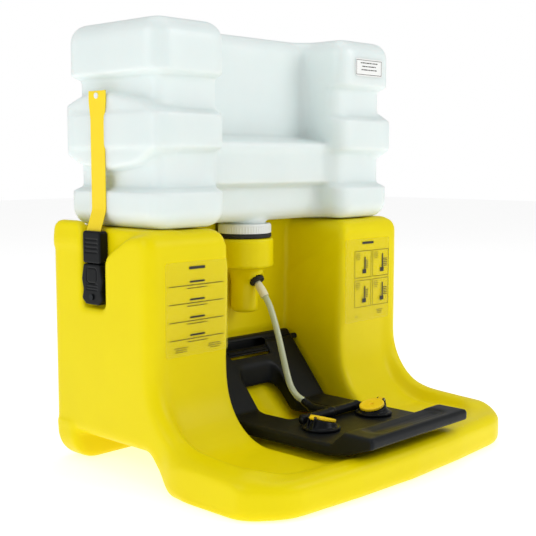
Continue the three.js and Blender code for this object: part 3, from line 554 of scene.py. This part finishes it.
FOOT_END = outline([(-280, 60), (-280, 0, 46), (280, 0, 46), (280, 60)])
BELLY_SIDE = outline([(-50, 38), (-50, 3, 6), (-8, 3, 30), (56, 24, 60), (151, 50, 10), (151, 76), (42, 76)])
LIP_SIDE = outline([(232, 322), (232, 361, 18), (162.5, 361, 16), (162.5, 322)])
CUP_Y = 110.0
OUTLET = np.array([0, 84, 260.0])
OUTLET_WAY = np.array([0, -0.6, -0.8])
PLEATS = (((137, 186), (15, 301)), ((135, 259), (41, 314)))


def above_line(y, z, line):
    """Distance above a slanted line in the side view."""
    (y0, z0), (y1, z1) = line
    length = math.hypot(y1 - y0, z1 - z0)
    return ((z - z0) * (y0 - y1) + (y - y0) * (z1 - z0)) / length


def receiver_field(x, y, z):
    wings = rounded_both(polygon(WING_SIDE, y, z), between(x, -WING_X, WING_X), 18)
    bowl = rounded_both(polygon(BOWL_PLAN, x, y), between(z, 0, 50), 15)
    form = either(wings, bowl, 30)
    form = either(form, rounded_both(polygon(FOOT_END, x, z), between(y, 186, 236), 12), 8)
    form = either(form, rounded_both(polygon(BELLY_SIDE, y, z), np.abs(x) - 135, 8), 16)
    dish = rounded_both(polygon(SEAT_SIDE, y, z), polygon(DISH_PLAN, x, y), 14)
    form = without(form, dish, 16)
    # the well's walls stand back a little above each of two slanting pleats
    pleated = sum(3.2 * step(above_line(y, z, line), 7) for line in PLEATS) * step(140 - y, 4)
    well = rounded_both(polygon(WELL_SIDE, y, z), np.abs(x) - WELL_X - pleated, 7)
    shoulder = both(polygon(WELL_TOP, x, z), polygon(WELL_SIDE, y, z), 6)
    form = without(form, well, 15)
    form = without(form, shoulder, 8)
    # shallow trough down the ramp and a crease across the block above the arm
    form = without(form, capsule(x, y, z, (4, 129, 135), (4, 56, 64), 15), 8)
    form = without(form, capsule(x, y, z, (-118, 138, 165), (118, 138, 165), 2.6), 4)
    slot = rounded_both(polygon(SLOT_SIDE, y, z), 266 - np.abs(x), 5)
    form = without(form, slot, 8)
    lip = rounded_both(polygon(LIP_SIDE, y, z), between(np.abs(x), 264, WING_X), 6)
    form = either(form, lip, 6)
    cup = disc(x, y, z, (0, CUP_Y, 279), (0, CUP_Y, 326), 46, 3)
    sump = disc(x, y, z, (0, CUP_Y, 206), (0, CUP_Y, 290), 22, 7)
    cup = either(cup, sump, 26)
    cup = either(cup, disc(x, y, z, OUTLET - 20 * OUTLET_WAY, OUTLET, 15, 3), 8)
    form = either(form, cup, 9)
    form = without(form, disc(x, y, z, (0, CUP_Y, 326), (0, CUP_Y, 420), 46, 1), 3)
    form = without(form, disc(x, y, z, (0, CUP_Y, 285), (0, CUP_Y, 340), 32, 3), 3)
    form = without(form, disc(x, y, z, OUTLET - 9 * OUTLET_WAY, OUTLET + 9 * OUTLET_WAY, 9.5, 1), 2)
    form = without(form, disc(x, y, z, (0, 236.2, 122), (0, 260, 122), 11.6, 0.3), 0.6)
    # the broad fillets stay above the floor and inside the flare
    return rounded_both(rounded_both(form, -z, 3), np.abs(x) - 291, 2)


receiver = skin(
    "moulded_receiver", receiver_field, (-291, -231, 0), (291, 238, 362), 4.0, yellow_polyethylene
)
settle(receiver, "base", "yellow_shell", "receiver_shell")


# ---------------------------------------------------------------- tank
TANK_PLAN = outline([(-262, 13.5, 32), (262, 13.5, 32), (262, 224, 32), (-262, 224, 32)])
BOSS_SIDE = outline([
    (17.5, 464), (59.5, 440, 60), (130, 432, 120), (190, 440, 90), (220, 454), (220, 528), (180, 542.5, 120),
    (116, 542.5, 120), (43.5, 529, 60), (17.5, 513),
])


def tank_field(x, y, z):
    # two channels run round the outside between three bands
    channels = 15 * (step(z - 406.5, 9) - step(z - 462, 9) + step(z - 515.5, 9) - step(z - 565, 9))
    form = rounded_both(polygon(TANK_PLAN, x, y) + channels, between(z, 352.3, 642), 27)
    boss = rounded_both(polygon(BOSS_SIDE, y, z), between(np.abs(x), 215, 262), 9)
    form = either(form, boss, 9)
    back = 66 - 21 * step(z - 409, 10) + 53 * step(z - 480, 14)
    recess = rounded_both(np.abs(x) - 126, y - back, 14)
    form = without(form, recess, 30)
    return either(form, disc(x, y, z, (0, CUP_Y, 330), (0, CUP_Y, 366), 33, 1), 6)


tank = skin("blow_moulded_tank", tank_field, (-262, 13, 330), (262, 224, 642), 3.4, natural_polyethylene)
settle(tank, "tank", "tank_plastic", "tank_body")


# ---------------------------------------------------------------- arm
ARM_SIDE = outline([
    (131, 164, 6), (119, 164, 6), (36, 64, 6), (-166, 64, 5), (-188, 84, 8), (-238, 84, 5), (-238, 69, 5),
    (-192, 52, 10), (-158, 46, 10), (47.3, 46, 8), (131, 136, 8),
])
ARM_HOLLOW = outline([
    (127, 160, 2), (121, 160, 3), (38, 60, 8), (-164, 60, 8), (-186, 80, 4), (-234, 80, 2), (-234, -30),
    (127, -30),
])
ARM_OPENING = outline([
    (42, 84, 14), (42, 36, 6), (50, 16, 6), (50, -35, 6), (-50, -35, 6), (-50, 16, 6), (-42, 36, 6),
    (-42, 84, 14),
])
SLOPE_AT, SLOPE_DOWN = (119.0, 164.0), (-0.6387, -0.7695)


def arm_field(x, y, z):
    form = rounded_both(polygon(ARM_SIDE, y, z), np.abs(x) - 114, 3.5)
    opening = polygon(ARM_OPENING, x, y)
    hollow = both(both(polygon(ARM_HOLLOW, y, z), np.abs(x) - 110, 2), 4 - opening, 2)
    scoop_axis = ((-66, -208, 120), (66, -208, 120))
    hollow = without(hollow, capsule(x, y, z, *scoop_axis, 44), 2)
    form = without(form, hollow, 1.5)
    form = without(form, opening, 4)
    down = (y - SLOPE_AT[0]) * SLOPE_DOWN[0] + (z - SLOPE_AT[1]) * SLOPE_DOWN[1]
    out = (y - SLOPE_AT[0]) * SLOPE_DOWN[1] - (z - SLOPE_AT[1]) * SLOPE_DOWN[0]
    pocket = rounded_both(rounded_both(np.abs(x) - 46, between(down, 8, 38), 6), -2.8 - out, 1)
    form = without(form, pocket, 2)
    form = without(form, capsule(x, y, z, *scoop_axis, 40), 5)
    return without(form, disc(x, y, z, (-140, 116, 150), (140, 116, 150), 5.3, 0.5), 1)


arm = skin("swing_arm", arm_field, (-114, -238, 46), (114, 131, 164), 2.4, black_abs)
settle(arm, "arm", "black_plastic", "arm_frame")


# ---------------------------------------------------------------- water outlet and cup seal
def along_outlet(points):
    """From a profile turned about Z to the outlet's line, heights counted from the mouth outwards."""
    side = np.array([1.0, 0, 0])
    return OUTLET + points @ np.array([side, np.cross(OUTLET_WAY, side), OUTLET_WAY])


grommet = turned(
    "outlet_grommet",
    [
        (5.3, -7),
        *arc(8, -7, 1, 270, 360),
        (9, 0.3),
        *arc(11.2, 1.1, 0.8, 270, 360),
        *arc(10, 4, 2, 0, 90),
        (5.3, 6),
        (5.3, -7),
    ],
    48,
    along_outlet,
    black_rubber,
)
settle(grommet, "base", "black_rubber", "hose_grommet")


def over_cup(points):
    return points + (0, CUP_Y, 0)


gasket = turned(
    "cup_gasket_ring",
    [(33, 326.3), *arc(42, 327.3, 1, 270, 360), *arc(42, 331.5, 1, 0, 90), (33, 332.5), (33, 326.3)],
    64,
    over_cup,
    black_rubber,
)
settle(gasket, "base", "black_rubber", "cup_gasket")


# ---------------------------------------------------------------- what repeats
def repeated(name, unit, places, turns, body, slot, *finishes):
    """Copies of one small solid, each moved and turned, made by a node tree and kept as a plain mesh."""
    spots = bpy.data.meshes.new(name + "_spots")
    spots.from_pydata([[c * MM for c in p] for p in places], [], [])
    spots.attributes.new("turn", "FLOAT_VECTOR", "POINT").data.foreach_set(
        "vector", np.array(turns, np.float32).ravel()
    )
    host = bpy.data.objects.new(name + "_host", spots)
    bpy.context.scene.collection.objects.link(host)
    tree = bpy.data.node_groups.new(name, "GeometryNodeTree")
    tree.interface.new_socket("Geometry", in_out="INPUT", socket_type="NodeSocketGeometry")
    solid = tree.interface.new_socket("Unit", in_out="INPUT", socket_type="NodeSocketObject")
    paint = tree.interface.new_socket("Finish", in_out="INPUT", socket_type="NodeSocketMaterial")
    tree.interface.new_socket("Geometry", in_out="OUTPUT", socket_type="NodeSocketGeometry")
    given = add(tree, "NodeGroupInput")
    shape = add(tree, "GeometryNodeObjectInfo", {"Object": given.outputs["Unit"]})
    turn = add(tree, "GeometryNodeInputNamedAttribute", {"Name": "turn"}, data_type="FLOAT_VECTOR")
    copies = add(
        tree,
        "GeometryNodeInstanceOnPoints",
        {
            "Points": given.outputs["Geometry"],
            "Instance": shape.outputs["Geometry"],
            "Rotation": turn.outputs[0],
        },
    )
    real = add(tree, "GeometryNodeRealizeInstances", {"Geometry": copies.outputs["Instances"]})
    painted = add(
        tree, "GeometryNodeSetMaterial", {
            "Geometry": real.outputs["Geometry"], "Material": given.outputs["Finish"]
        }
    )
    add(tree, "NodeGroupOutput", {"Geometry": painted.outputs["Geometry"]})
    layer = host.modifiers.new("copies", "NODES")
    layer.node_group = tree
    layer[solid.identifier] = unit
    layer[paint.identifier] = finishes[0]
    bpy.context.view_layer.update()
    graph = bpy.context.evaluated_depsgraph_get()
    mesh = bpy.data.meshes.new_from_object(host.evaluated_get(graph), depsgraph=graph)
    host.modifiers.remove(layer)
    bpy.data.objects.remove(host)
    bpy.data.objects.remove(unit)
    piece = bpy.data.objects.new(name, mesh)
    bpy.context.scene.collection.objects.link(piece)
    mesh.polygons.foreach_set("use_smooth", np.full(len(mesh.polygons), False))
    return settle(piece, body, slot)


def rounded_block(name, x, y, z, chamfer):
    """A small block with chamfered upright edges, centred, millimetres."""
    c = chamfer
    plan = [
        (x - c, -y), (x, c - y), (x, y - c), (x - c, y), (c - x, y), (-x, y - c), (-x, c - y), (c - x, -y)
    ]
    vertices = [(a, b, h) for h in (-z, z) for a, b in plan]
    count = len(plan)
    sides = [(k, (k + 1) % count, (k + 1) % count + count, k + count) for k in range(count)]
    return mesh_object(
        name, vertices, [range(count - 1, -1, -1), range(count, 2 * count), *sides], smooth=False
    )


# ---------------------------------------------------------------- tank cap
CAP_PROFILE = [
    (17, 314), *arc(28, 316, 2, 270, 360), (30, 332.8), *arc(41.2, 333.6, 0.8, 270, 360),
    *arc(39.8, 346, 2, 0, 90),
    (33.4, 348), (33.4, 333.7), (24, 333.7), (24, 320), (17, 316), (17, 314),
]
cap = turned("screw_cap", CAP_PROFILE, 96, over_cup, white_polypropylene)
settle(cap, "cap", "white_plastic", "tank_cap")
RIBS, RIB_RING, RIB_Z = 60, 42, 339.8
rib_turns = [2 * math.pi * k / RIBS for k in range(RIBS)]
repeated(
    "cap_grip_ribs",
    rounded_block("grip_rib", 0.5, 0.8, 5.6, 0.35),
    [(RIB_RING * math.cos(a), CUP_Y + RIB_RING * math.sin(a), RIB_Z) for a in rib_turns],
    [(0, 0, a) for a in rib_turns],
    "cap",
    "white_plastic",
    white_polypropylene,
)


# ---------------------------------------------------------------- valve spring
turns = np.linspace(0, 10 * math.pi, 181)
coil = np.stack([9 * np.cos(turns), CUP_Y + 9 * np.sin(turns), 330.1 + 26.2 * turns / turns[-1]], axis=1)
spring = pipe("valve_spring_wire", coil, 0.8, 0.2, 10, spring_steel)
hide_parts("valve_spring")
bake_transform(spring)


# ---------------------------------------------------------------- spray heads, manifold and dust caps
HEAD_X, HEAD_Y, DECK_Z = 61.0, -105.0, 64.3
TILT = math.radians(16)
# the dust cap's hinge in the head's own frame, and the radius of its pin's hole
HINGE_U, HINGE_W, HINGE_BORE = 23.4, 13.4, 1.9


def head_local(x, y, z):
    """Places in the left head's own tilted frame."""
    a, c = x + HEAD_X, z - DECK_Z
    return a * math.cos(TILT) - c * math.sin(TILT), y - HEAD_Y, a * math.sin(TILT) + c * math.cos(TILT)


def head_field(x, y, z):
    u, v, w = head_local(x, y, z)
    form = rounded_both(np.hypot(u, v) - 24 + 0.33 * np.clip(w, 0, 12), w - 12, 1.5)
    form = both(form, DECK_Z - z, 0.5)
    collar = rounded_both(np.hypot(x + HEAD_X, y - HEAD_Y) - 28, between(z, DECK_Z, DECK_Z + 4.5), 1.4)
    form = either(form, collar, 2.5)
    # eight shallow finger flutes round the nozzle
    around = np.cos(8 * np.arctan2(v, u))
    form = form + 0.45 * step(around - 0.55, 0.4) * step(w - 4, 3)
    form = either(form, disc(x, y, z, (-HEAD_X, HEAD_Y, 48), (-HEAD_X, HEAD_Y, 66), 9, 1), 1)
    form = without(form, rounded_both(np.hypot(u, v) - 16, 5 - w, 0.5), 1)
    for side in (-1, 1):
        lug = rounded_both(between(u, -26, -20.8), between(v, 5.5 * side - 1.2, 5.5 * side + 1.2), 0.5)
        lug = rounded_both(lug, between(w, -6, 13.4), 0.4)
        lug = either(
            lug, rounded_both(
                np.hypot(u + HINGE_U, w - HINGE_W) - 2.6, np.abs(v - 5.5 * side) - 1.2, 0.4
            ), 0.4
        )
        form = either(form, both(lug, DECK_Z - z, 0.4), 1)
    return np.maximum(form, HINGE_BORE - np.hypot(u + HINGE_U, w - HINGE_W))


def cap_field(x, y, z):
    u, v, w = head_local(x, y, z)
    across = np.hypot(u, v)
    form = rounded_both(across - 19, between(w, 12.3, 16.9), 1.2)
    # raised rim, finger ribs round the edge and a small dimple in the middle
    form = form + 0.5 * step(15 - across, 1.5) * step(w - 15.5, 1)
    form = form + 0.35 * step(np.cos(30 * np.arctan2(v, u)) - 0.2, 0.8) * step(across - 17, 1.5)
    form = without(form, disc(u, v, w, (0, 0, 14.6), (0, 0, 20), 3, 0.4), 0.8)
    form = either(
        form,
        rounded_both(rounded_both(between(u, -23.4, -17), np.abs(v) - 4, 0.4), between(w, 12.3, 14.7), 0.4),
        1,
    )
    form = either(form, rounded_both(np.hypot(u + HINGE_U, w - HINGE_W) - 2.9, np.abs(v) - 4, 0.4), 0.6)
    form = either(form, rounded_both(between(across, 13, 14.8), between(w, 9.8, 12.8), 0.3), 0.4)
    return np.maximum(form, HINGE_BORE - np.hypot(u + HINGE_U, w - HINGE_W))


MANIFOLD_END = np.array([0, -16.77, 80.08])


def manifold_field(x, y, z):
    a = np.abs(x)
    form = capsule(x, y, z, (-61, -71, 71.8), (61, -71, 71.8), 7)
    form = either(form, capsule(a, y, z, (61, -71, 71.8), (61, -79, 68.8), 7), 3)
    form = either(form, capsule(x, y, z, (0, -71, 71.8), (0, -71, 71.9), 8), 3)
    form = either(form, capsule(x, y, z, (0, -71, 71.8), (0, -35, 71.8), 7), 3)
    way = (MANIFOLD_END - (0, -35, 71.8)) / np.linalg.norm(MANIFOLD_END - (0, -35, 71.8))
    form = either(form, disc(x, y, z, MANIFOLD_END - 20 * way, MANIFOLD_END, 6.2, 0.6), 3)
    for back in (4, 9):
        form = either(
            form,
            disc(x, y, z, MANIFOLD_END - (back + 1.6) * way, MANIFOLD_END - back * way, 6.5, 0.5),
            0.5,
        )
    form = both(form, DECK_Z - z, 1)
    return both(form, 28.4 - np.hypot(a - HEAD_X, y - HEAD_Y), 1)


def mirrored(piece, name):
    """The same piece on the other side, X turned round."""
    data = piece.data.copy()
    places = np.empty(3 * len(data.vertices), np.float32)
    data.vertices.foreach_get("co", places)
    places[::3] *= -1
    data.vertices.foreach_set("co", places)
    data.flip_normals()
    other = bpy.data.objects.new(name, data)
    bpy.context.scene.collection.objects.link(other)
    return other


manifold = skin("feed_manifold", manifold_field, (-69, -80, 64), (69, -16, 82), 1.1, black_acetal)
settle(manifold, "arm", "black_plastic", "manifold")

head = skin("spray_nozzle_left", head_field, (-90, -134, 47), (-32, -76, 88), 0.9, black_acetal)
lid = skin("flip_cap_left", cap_field, (-86, -125, 70), (-36, -85, 88), 0.55, yellow_abs)
for side, nozzle, cover in (
    ("left", head, lid),
    ("right", mirrored(head, "spray_nozzle_right"), mirrored(lid, "flip_cap_right")),
):
    settle(nozzle, "arm", "black_plastic", "spray_head_" + side)
    settle(cover, "dust_cap_" + side, "yellow_cap", "dust_cap_" + side)


# ---------------------------------------------------------------- buckles and straps
ANCHOR_Y, STRAP_Y = 136.5, 140
BUCKLE_X = (-281.3, -266.3)
SOCKET_FACE = outline([
    (117.5, 301, 4), (112.5, 279, 6), (116.5, 263, 6), (112.5, 251, 5), (121.5, 243, 4), (151.5, 243, 4),
    (160.5, 251, 5), (156.5, 263, 6), (160.5, 279, 6), (155.5, 301, 4),
])
CLIP_FACE = outline([(116.5, 302, 4), (156.5, 302, 4), (156.5, 348, 5), (116.5, 348, 5)])
STRAP_SIDE = outline([
    (-262.3, 545), (-262.3, 376, 20), (-272, 350, 12), (-272, 334), (-274, 334), (-274, 350, 12),
    (-264.3, 377, 20), (-264.3, 545),
])


def socket_field(x, y, z):
    form = rounded_both(polygon(SOCKET_FACE, y, z), between(x, *BUCKLE_X), 2)
    # window over the catch, a raised rib round it and grip lines below
    window = rounded_both(between(y, ANCHOR_Y - 9, ANCHOR_Y + 9), between(z, 277, 293), 3)
    form = without(form, both(np.abs(window - 2.6) - 0.6, x + 280.4, 0.4), 0.6)
    for low in (264.5, 268.5, 272.5):
        form = without(
            form, capsule(x, y, z, (-281.6, ANCHOR_Y - 12, low), (-281.6, ANCHOR_Y + 12, low), 0.9), 0.5
        )
    form = np.maximum(form, 2.9 - np.hypot(y - ANCHOR_Y, z - 254))
    hollow = rounded_both(np.abs(x + 273.8) - 4.25, rounded_both(np.abs(y - ANCHOR_Y) - 17, 261 - z, 1), 0.5)
    return without(form, hollow, 0.5)


def clip_field(x, y, z):
    form = rounded_both(polygon(CLIP_FACE, y, z), between(x, *BUCKLE_X), 2.4)
    for high in (318, 324, 330, 336):
        form = without(
            form, capsule(x, y, z, (-281.5, ANCHOR_Y - 13, high), (-281.5, ANCHOR_Y + 13, high), 1.1), 0.8
        )
    mouth = rounded_both(
        between(x, -274.3, -271.7), rounded_both(np.abs(y - STRAP_Y) - 16.3, 333 - z, 0.3), 0.3
    )
    form = without(form, mouth, 0.6)
    across = np.abs(y - ANCHOR_Y)
    prongs = rounded_both(between(across, 9, 16), between(z, 266 + 0.7 * np.abs(across - 11), 305), 1)
    return either(form, rounded_both(prongs, np.abs(x + 273.8) - 3, 0.8), 0.8)


def strap_field(x, y, z):
    half = 16 + 3.5 * step(z - 517, 34)
    form = rounded_both(polygon(STRAP_SIDE, x, z), np.abs(y - STRAP_Y) - half, 0.7)
    # raised bead along both edges and a ring round the eyelet
    form = form - 0.25 * step(0.9 - np.abs(np.abs(y - STRAP_Y) - half + 2.6), 0.8)
    eyelet = np.hypot(y - STRAP_Y, z - 538)
    form = form - 0.3 * step(6 - eyelet, 1)
    return np.maximum(form, 2.9 - eyelet)


socket = skin("buckle_socket_body", socket_field, (-282, 112, 242), (-266, 161, 302), 0.8, black_acetal)
clip = skin("buckle_clip_body", clip_field, (-282, 116, 265), (-266, 157, 349), 0.8, black_acetal)
strap = skin("hold_down_strap", strap_field, (-275, 120, 333), (-262, 160, 546), 0.8, strap_polyurethane)
for side in ("left", "right"):
    for piece, body, slot, node in (
        (socket, "base", "black_plastic", "buckle_socket_"),
        (clip, "tank", "black_plastic", "buckle_clip_"),
        (strap, "tank", "yellow_strap", "strap_"),
    ):
        one = mirrored(piece, piece.name + "_right") if side == "right" else piece
        settle(one, body, slot, node + side)


# ---------------------------------------------------------------- films and their print
# thickness of the ink, and the lengths of dashes that stand for words, in turn
INK = 0.12
WORDS = (3.2, 6.1, 2.2, 7.4, 4.6, 1.8, 5.3, 8.2, 2.9)


def plate(name, plan, front, back, finish):
    """A flat plate facing -Y from its outline in X and Z."""
    count = len(plan)
    vertices = [(a, y, b) for y in (front, back) for a, b in plan]
    area = sum(p[0] * q[1] - q[0] * p[1] for p, q in zip(plan, np.roll(plan, -1, axis=0)))
    face = list(range(count))
    sides = [(k, k + count, (k + 1) % count + count, (k + 1) % count) for k in range(count)]
    faces = [face, [k + count for k in reversed(face)], *sides]
    if area < 0:
        faces = [list(reversed(f)) for f in faces]
    return mesh_object(name, vertices, faces, finish, smooth=False)


def printed(name, bars, front, body):
    """Ink bars (x0, x1, z0, z1), each a thin raised block."""
    vertices, faces = [], []
    for x0, x1, z0, z1 in bars:
        n = len(vertices)
        vertices += [
            (x, y, z) for x, z in ((x0, z0), (x1, z0), (x1, z1), (x0, z1)) for y in (front, front + INK)
        ]
        faces += [[n, n + 2, n + 4, n + 6], [n + 7, n + 5, n + 3, n + 1]]
        faces += [[n + a, n + a + 1, n + (a + 3) % 8, n + (a + 2) % 8] for a in (0, 2, 4, 6)]
    piece = mesh_object(name, vertices, faces, black_ink, smooth=False)
    return settle(piece, body, "film")


def heading(centre, width, top, thick):
    return [(centre - width / 2, centre + width / 2, top - thick, top)]


def words(centre, widths, top, thick, leading):
    """Centred rows of dashes of uneven length, one row for each width."""
    bars = []
    for row, width in enumerate(widths):
        at, count = centre - width / 2, 0
        while at < centre + width / 2 - 1:
            length = min(WORDS[(count + 3 * row) % len(WORDS)], centre + width / 2 - at)
            bars.append((at, at + length, top - row * leading - thick, top - row * leading))
            at += length + 1.1
            count += 1
    return bars


def square_frame(x0, x1, z0, z1, line):
    return [
        (x0, x1, z1 - line, z1), (x0, x1, z0, z0 + line), (x0, x0 + line, z0, z1), (x1 - line, x1, z0, z1)
    ]


def film(name, box, front, back, body, finish, bars, node):
    x0, x1, z0, z1 = box
    plan = outline([(x0, z0, 4), (x1, z0, 4), (x1, z1, 4), (x0, z1, 4)])
    settle(plate(name, plan, front, back, finish), body, "film", node)
    printed(name + "_print", bars, front - INK - 0.03, body)


left_bars = heading(-193, 30, 301, 4)
for top in (281, 256, 231, 206):
    left_bars += heading(-193, 28, top, 2.6) + words(-193, (104, 38), top - 5.5, 1.2, 4.2)
left_bars += words(-224, (26, 20, 22), 189, 1, 2.8) + words(-160, (24, 26, 18), 189, 1, 2.8)
film(
    "instruction_film_left",
    (-252, -134, 176, 308),
    11.2,
    11.7,
    "base",
    clear_film,
    left_bars,
    "instruction_label_left",
)

right_bars = heading(193, 30, 313, 4)
for x0, reach in ((158, 9), (206, 15)):
    for z0 in (204, 253):
        right_bars += square_frame(x0, x0 + 44, z0, z0 + 45, 0.7)
        right_bars += words(x0 + 9, (9, 12, 11, 8), z0 + 41, 0.9, 3.2)
        # a lever over a rounded block stands for each picture
        right_bars += [(x0 + 26, x0 + 29, z0 + 13, z0 + 30 + reach / 2), (x0 + 21, x0 + 31, z0 + 7, z0 + 14)]
        right_bars += [(x0 + 30, x0 + 30 + reach / 1.5, z0 + 16 + 3 * k, z0 + 17.2 + 3 * k) for k in range(5)]
right_bars += words(226, (18, 14, 10), 196, 1, 2.8) + heading(164, 8, 189, 1)
film(
    "instruction_film_right",
    (134, 252, 180, 318),
    11.2,
    11.7,
    "base",
    clear_film,
    right_bars,
    "instruction_label_right",
)

tank_bars = words(193, (44, 36, 40), 606, 1.6, 5.5) + square_frame(160, 226, 586, 610, 0.8)
film("tank_film", (158, 228, 584, 612), 12.7, 13.2, "tank", white_film, tank_bars, "tank_label")


# ---------------------------------------------------------------- floor and light
# Lit paper: it glows a little, so its far edge runs into the white behind it.
floor_finish = finish(
    "backlit_white_paper", "#F6F6F6", "#F2F2F2", 0.9, 30, 0.01, 1.45, 400, None,
    **{"Emission Color": linear("#FFFFFF"), "Emission Strength": 0.55, "Specular IOR Level": 0.1},
)
REACH, UNDER = 9000, -0.2
floor_corners = [
    (x, y, UNDER) for x, y in ((-REACH, -REACH), (REACH, -REACH), (REACH, REACH), (-REACH, REACH))
]
floor = mesh_object("studio_floor", floor_corners, [(0, 1, 2, 3)], floor_finish)

LIGHTS = (
    # name, place, aimed at, width and height, watts
    ("key_softbox", (1.3, -2.3, 1.7), (0, 0, 0.25), (1.5, 1.5), 26),
    ("side_softbox", (-2.4, 0.3, 1.5), (0, 0, 0.3), (1.4, 1.4), 16),
    ("top_softbox", (0.2, 0.3, 2.5), (0, 0, 0.3), (2.0, 2.0), 11),
)
for name, place, target, (wide, tall), watts in LIGHTS:
    lamp = bpy.data.lights.new(name, "AREA")
    lamp.shape = "RECTANGLE"
    lamp.size, lamp.size_y, lamp.energy = wide, tall, watts
    holder = bpy.data.objects.new(name, lamp)
    holder.location = place
    holder.rotation_euler = (Vector(target) - Vector(place)).to_track_quat("-Z", "Y").to_euler()
    bpy.context.scene.collection.objects.link(holder)

# the studio is white to look at and gives a weaker light than it shows
world = bpy.data.worlds.new("studio")
world.use_nodes = True
tree = world.node_tree
tree.nodes.clear()
seen = add(tree, "ShaderNodeLightPath").outputs["Is Camera Ray"]
glow = add(tree, "ShaderNodeBackground", {"Color": linear("#FFFFFF"), "Strength": 0.44})
white = add(tree, "ShaderNodeBackground", {"Color": linear("#FFFFFF"), "Strength": 1.0})
both_skies = add(tree, "ShaderNodeMixShader", {0: seen, 1: glow.outputs[0], 2: white.outputs[0]})
add(tree, "ShaderNodeOutputWorld", {"Surface": both_skies.outputs[0]})
bpy.context.scene.world = world
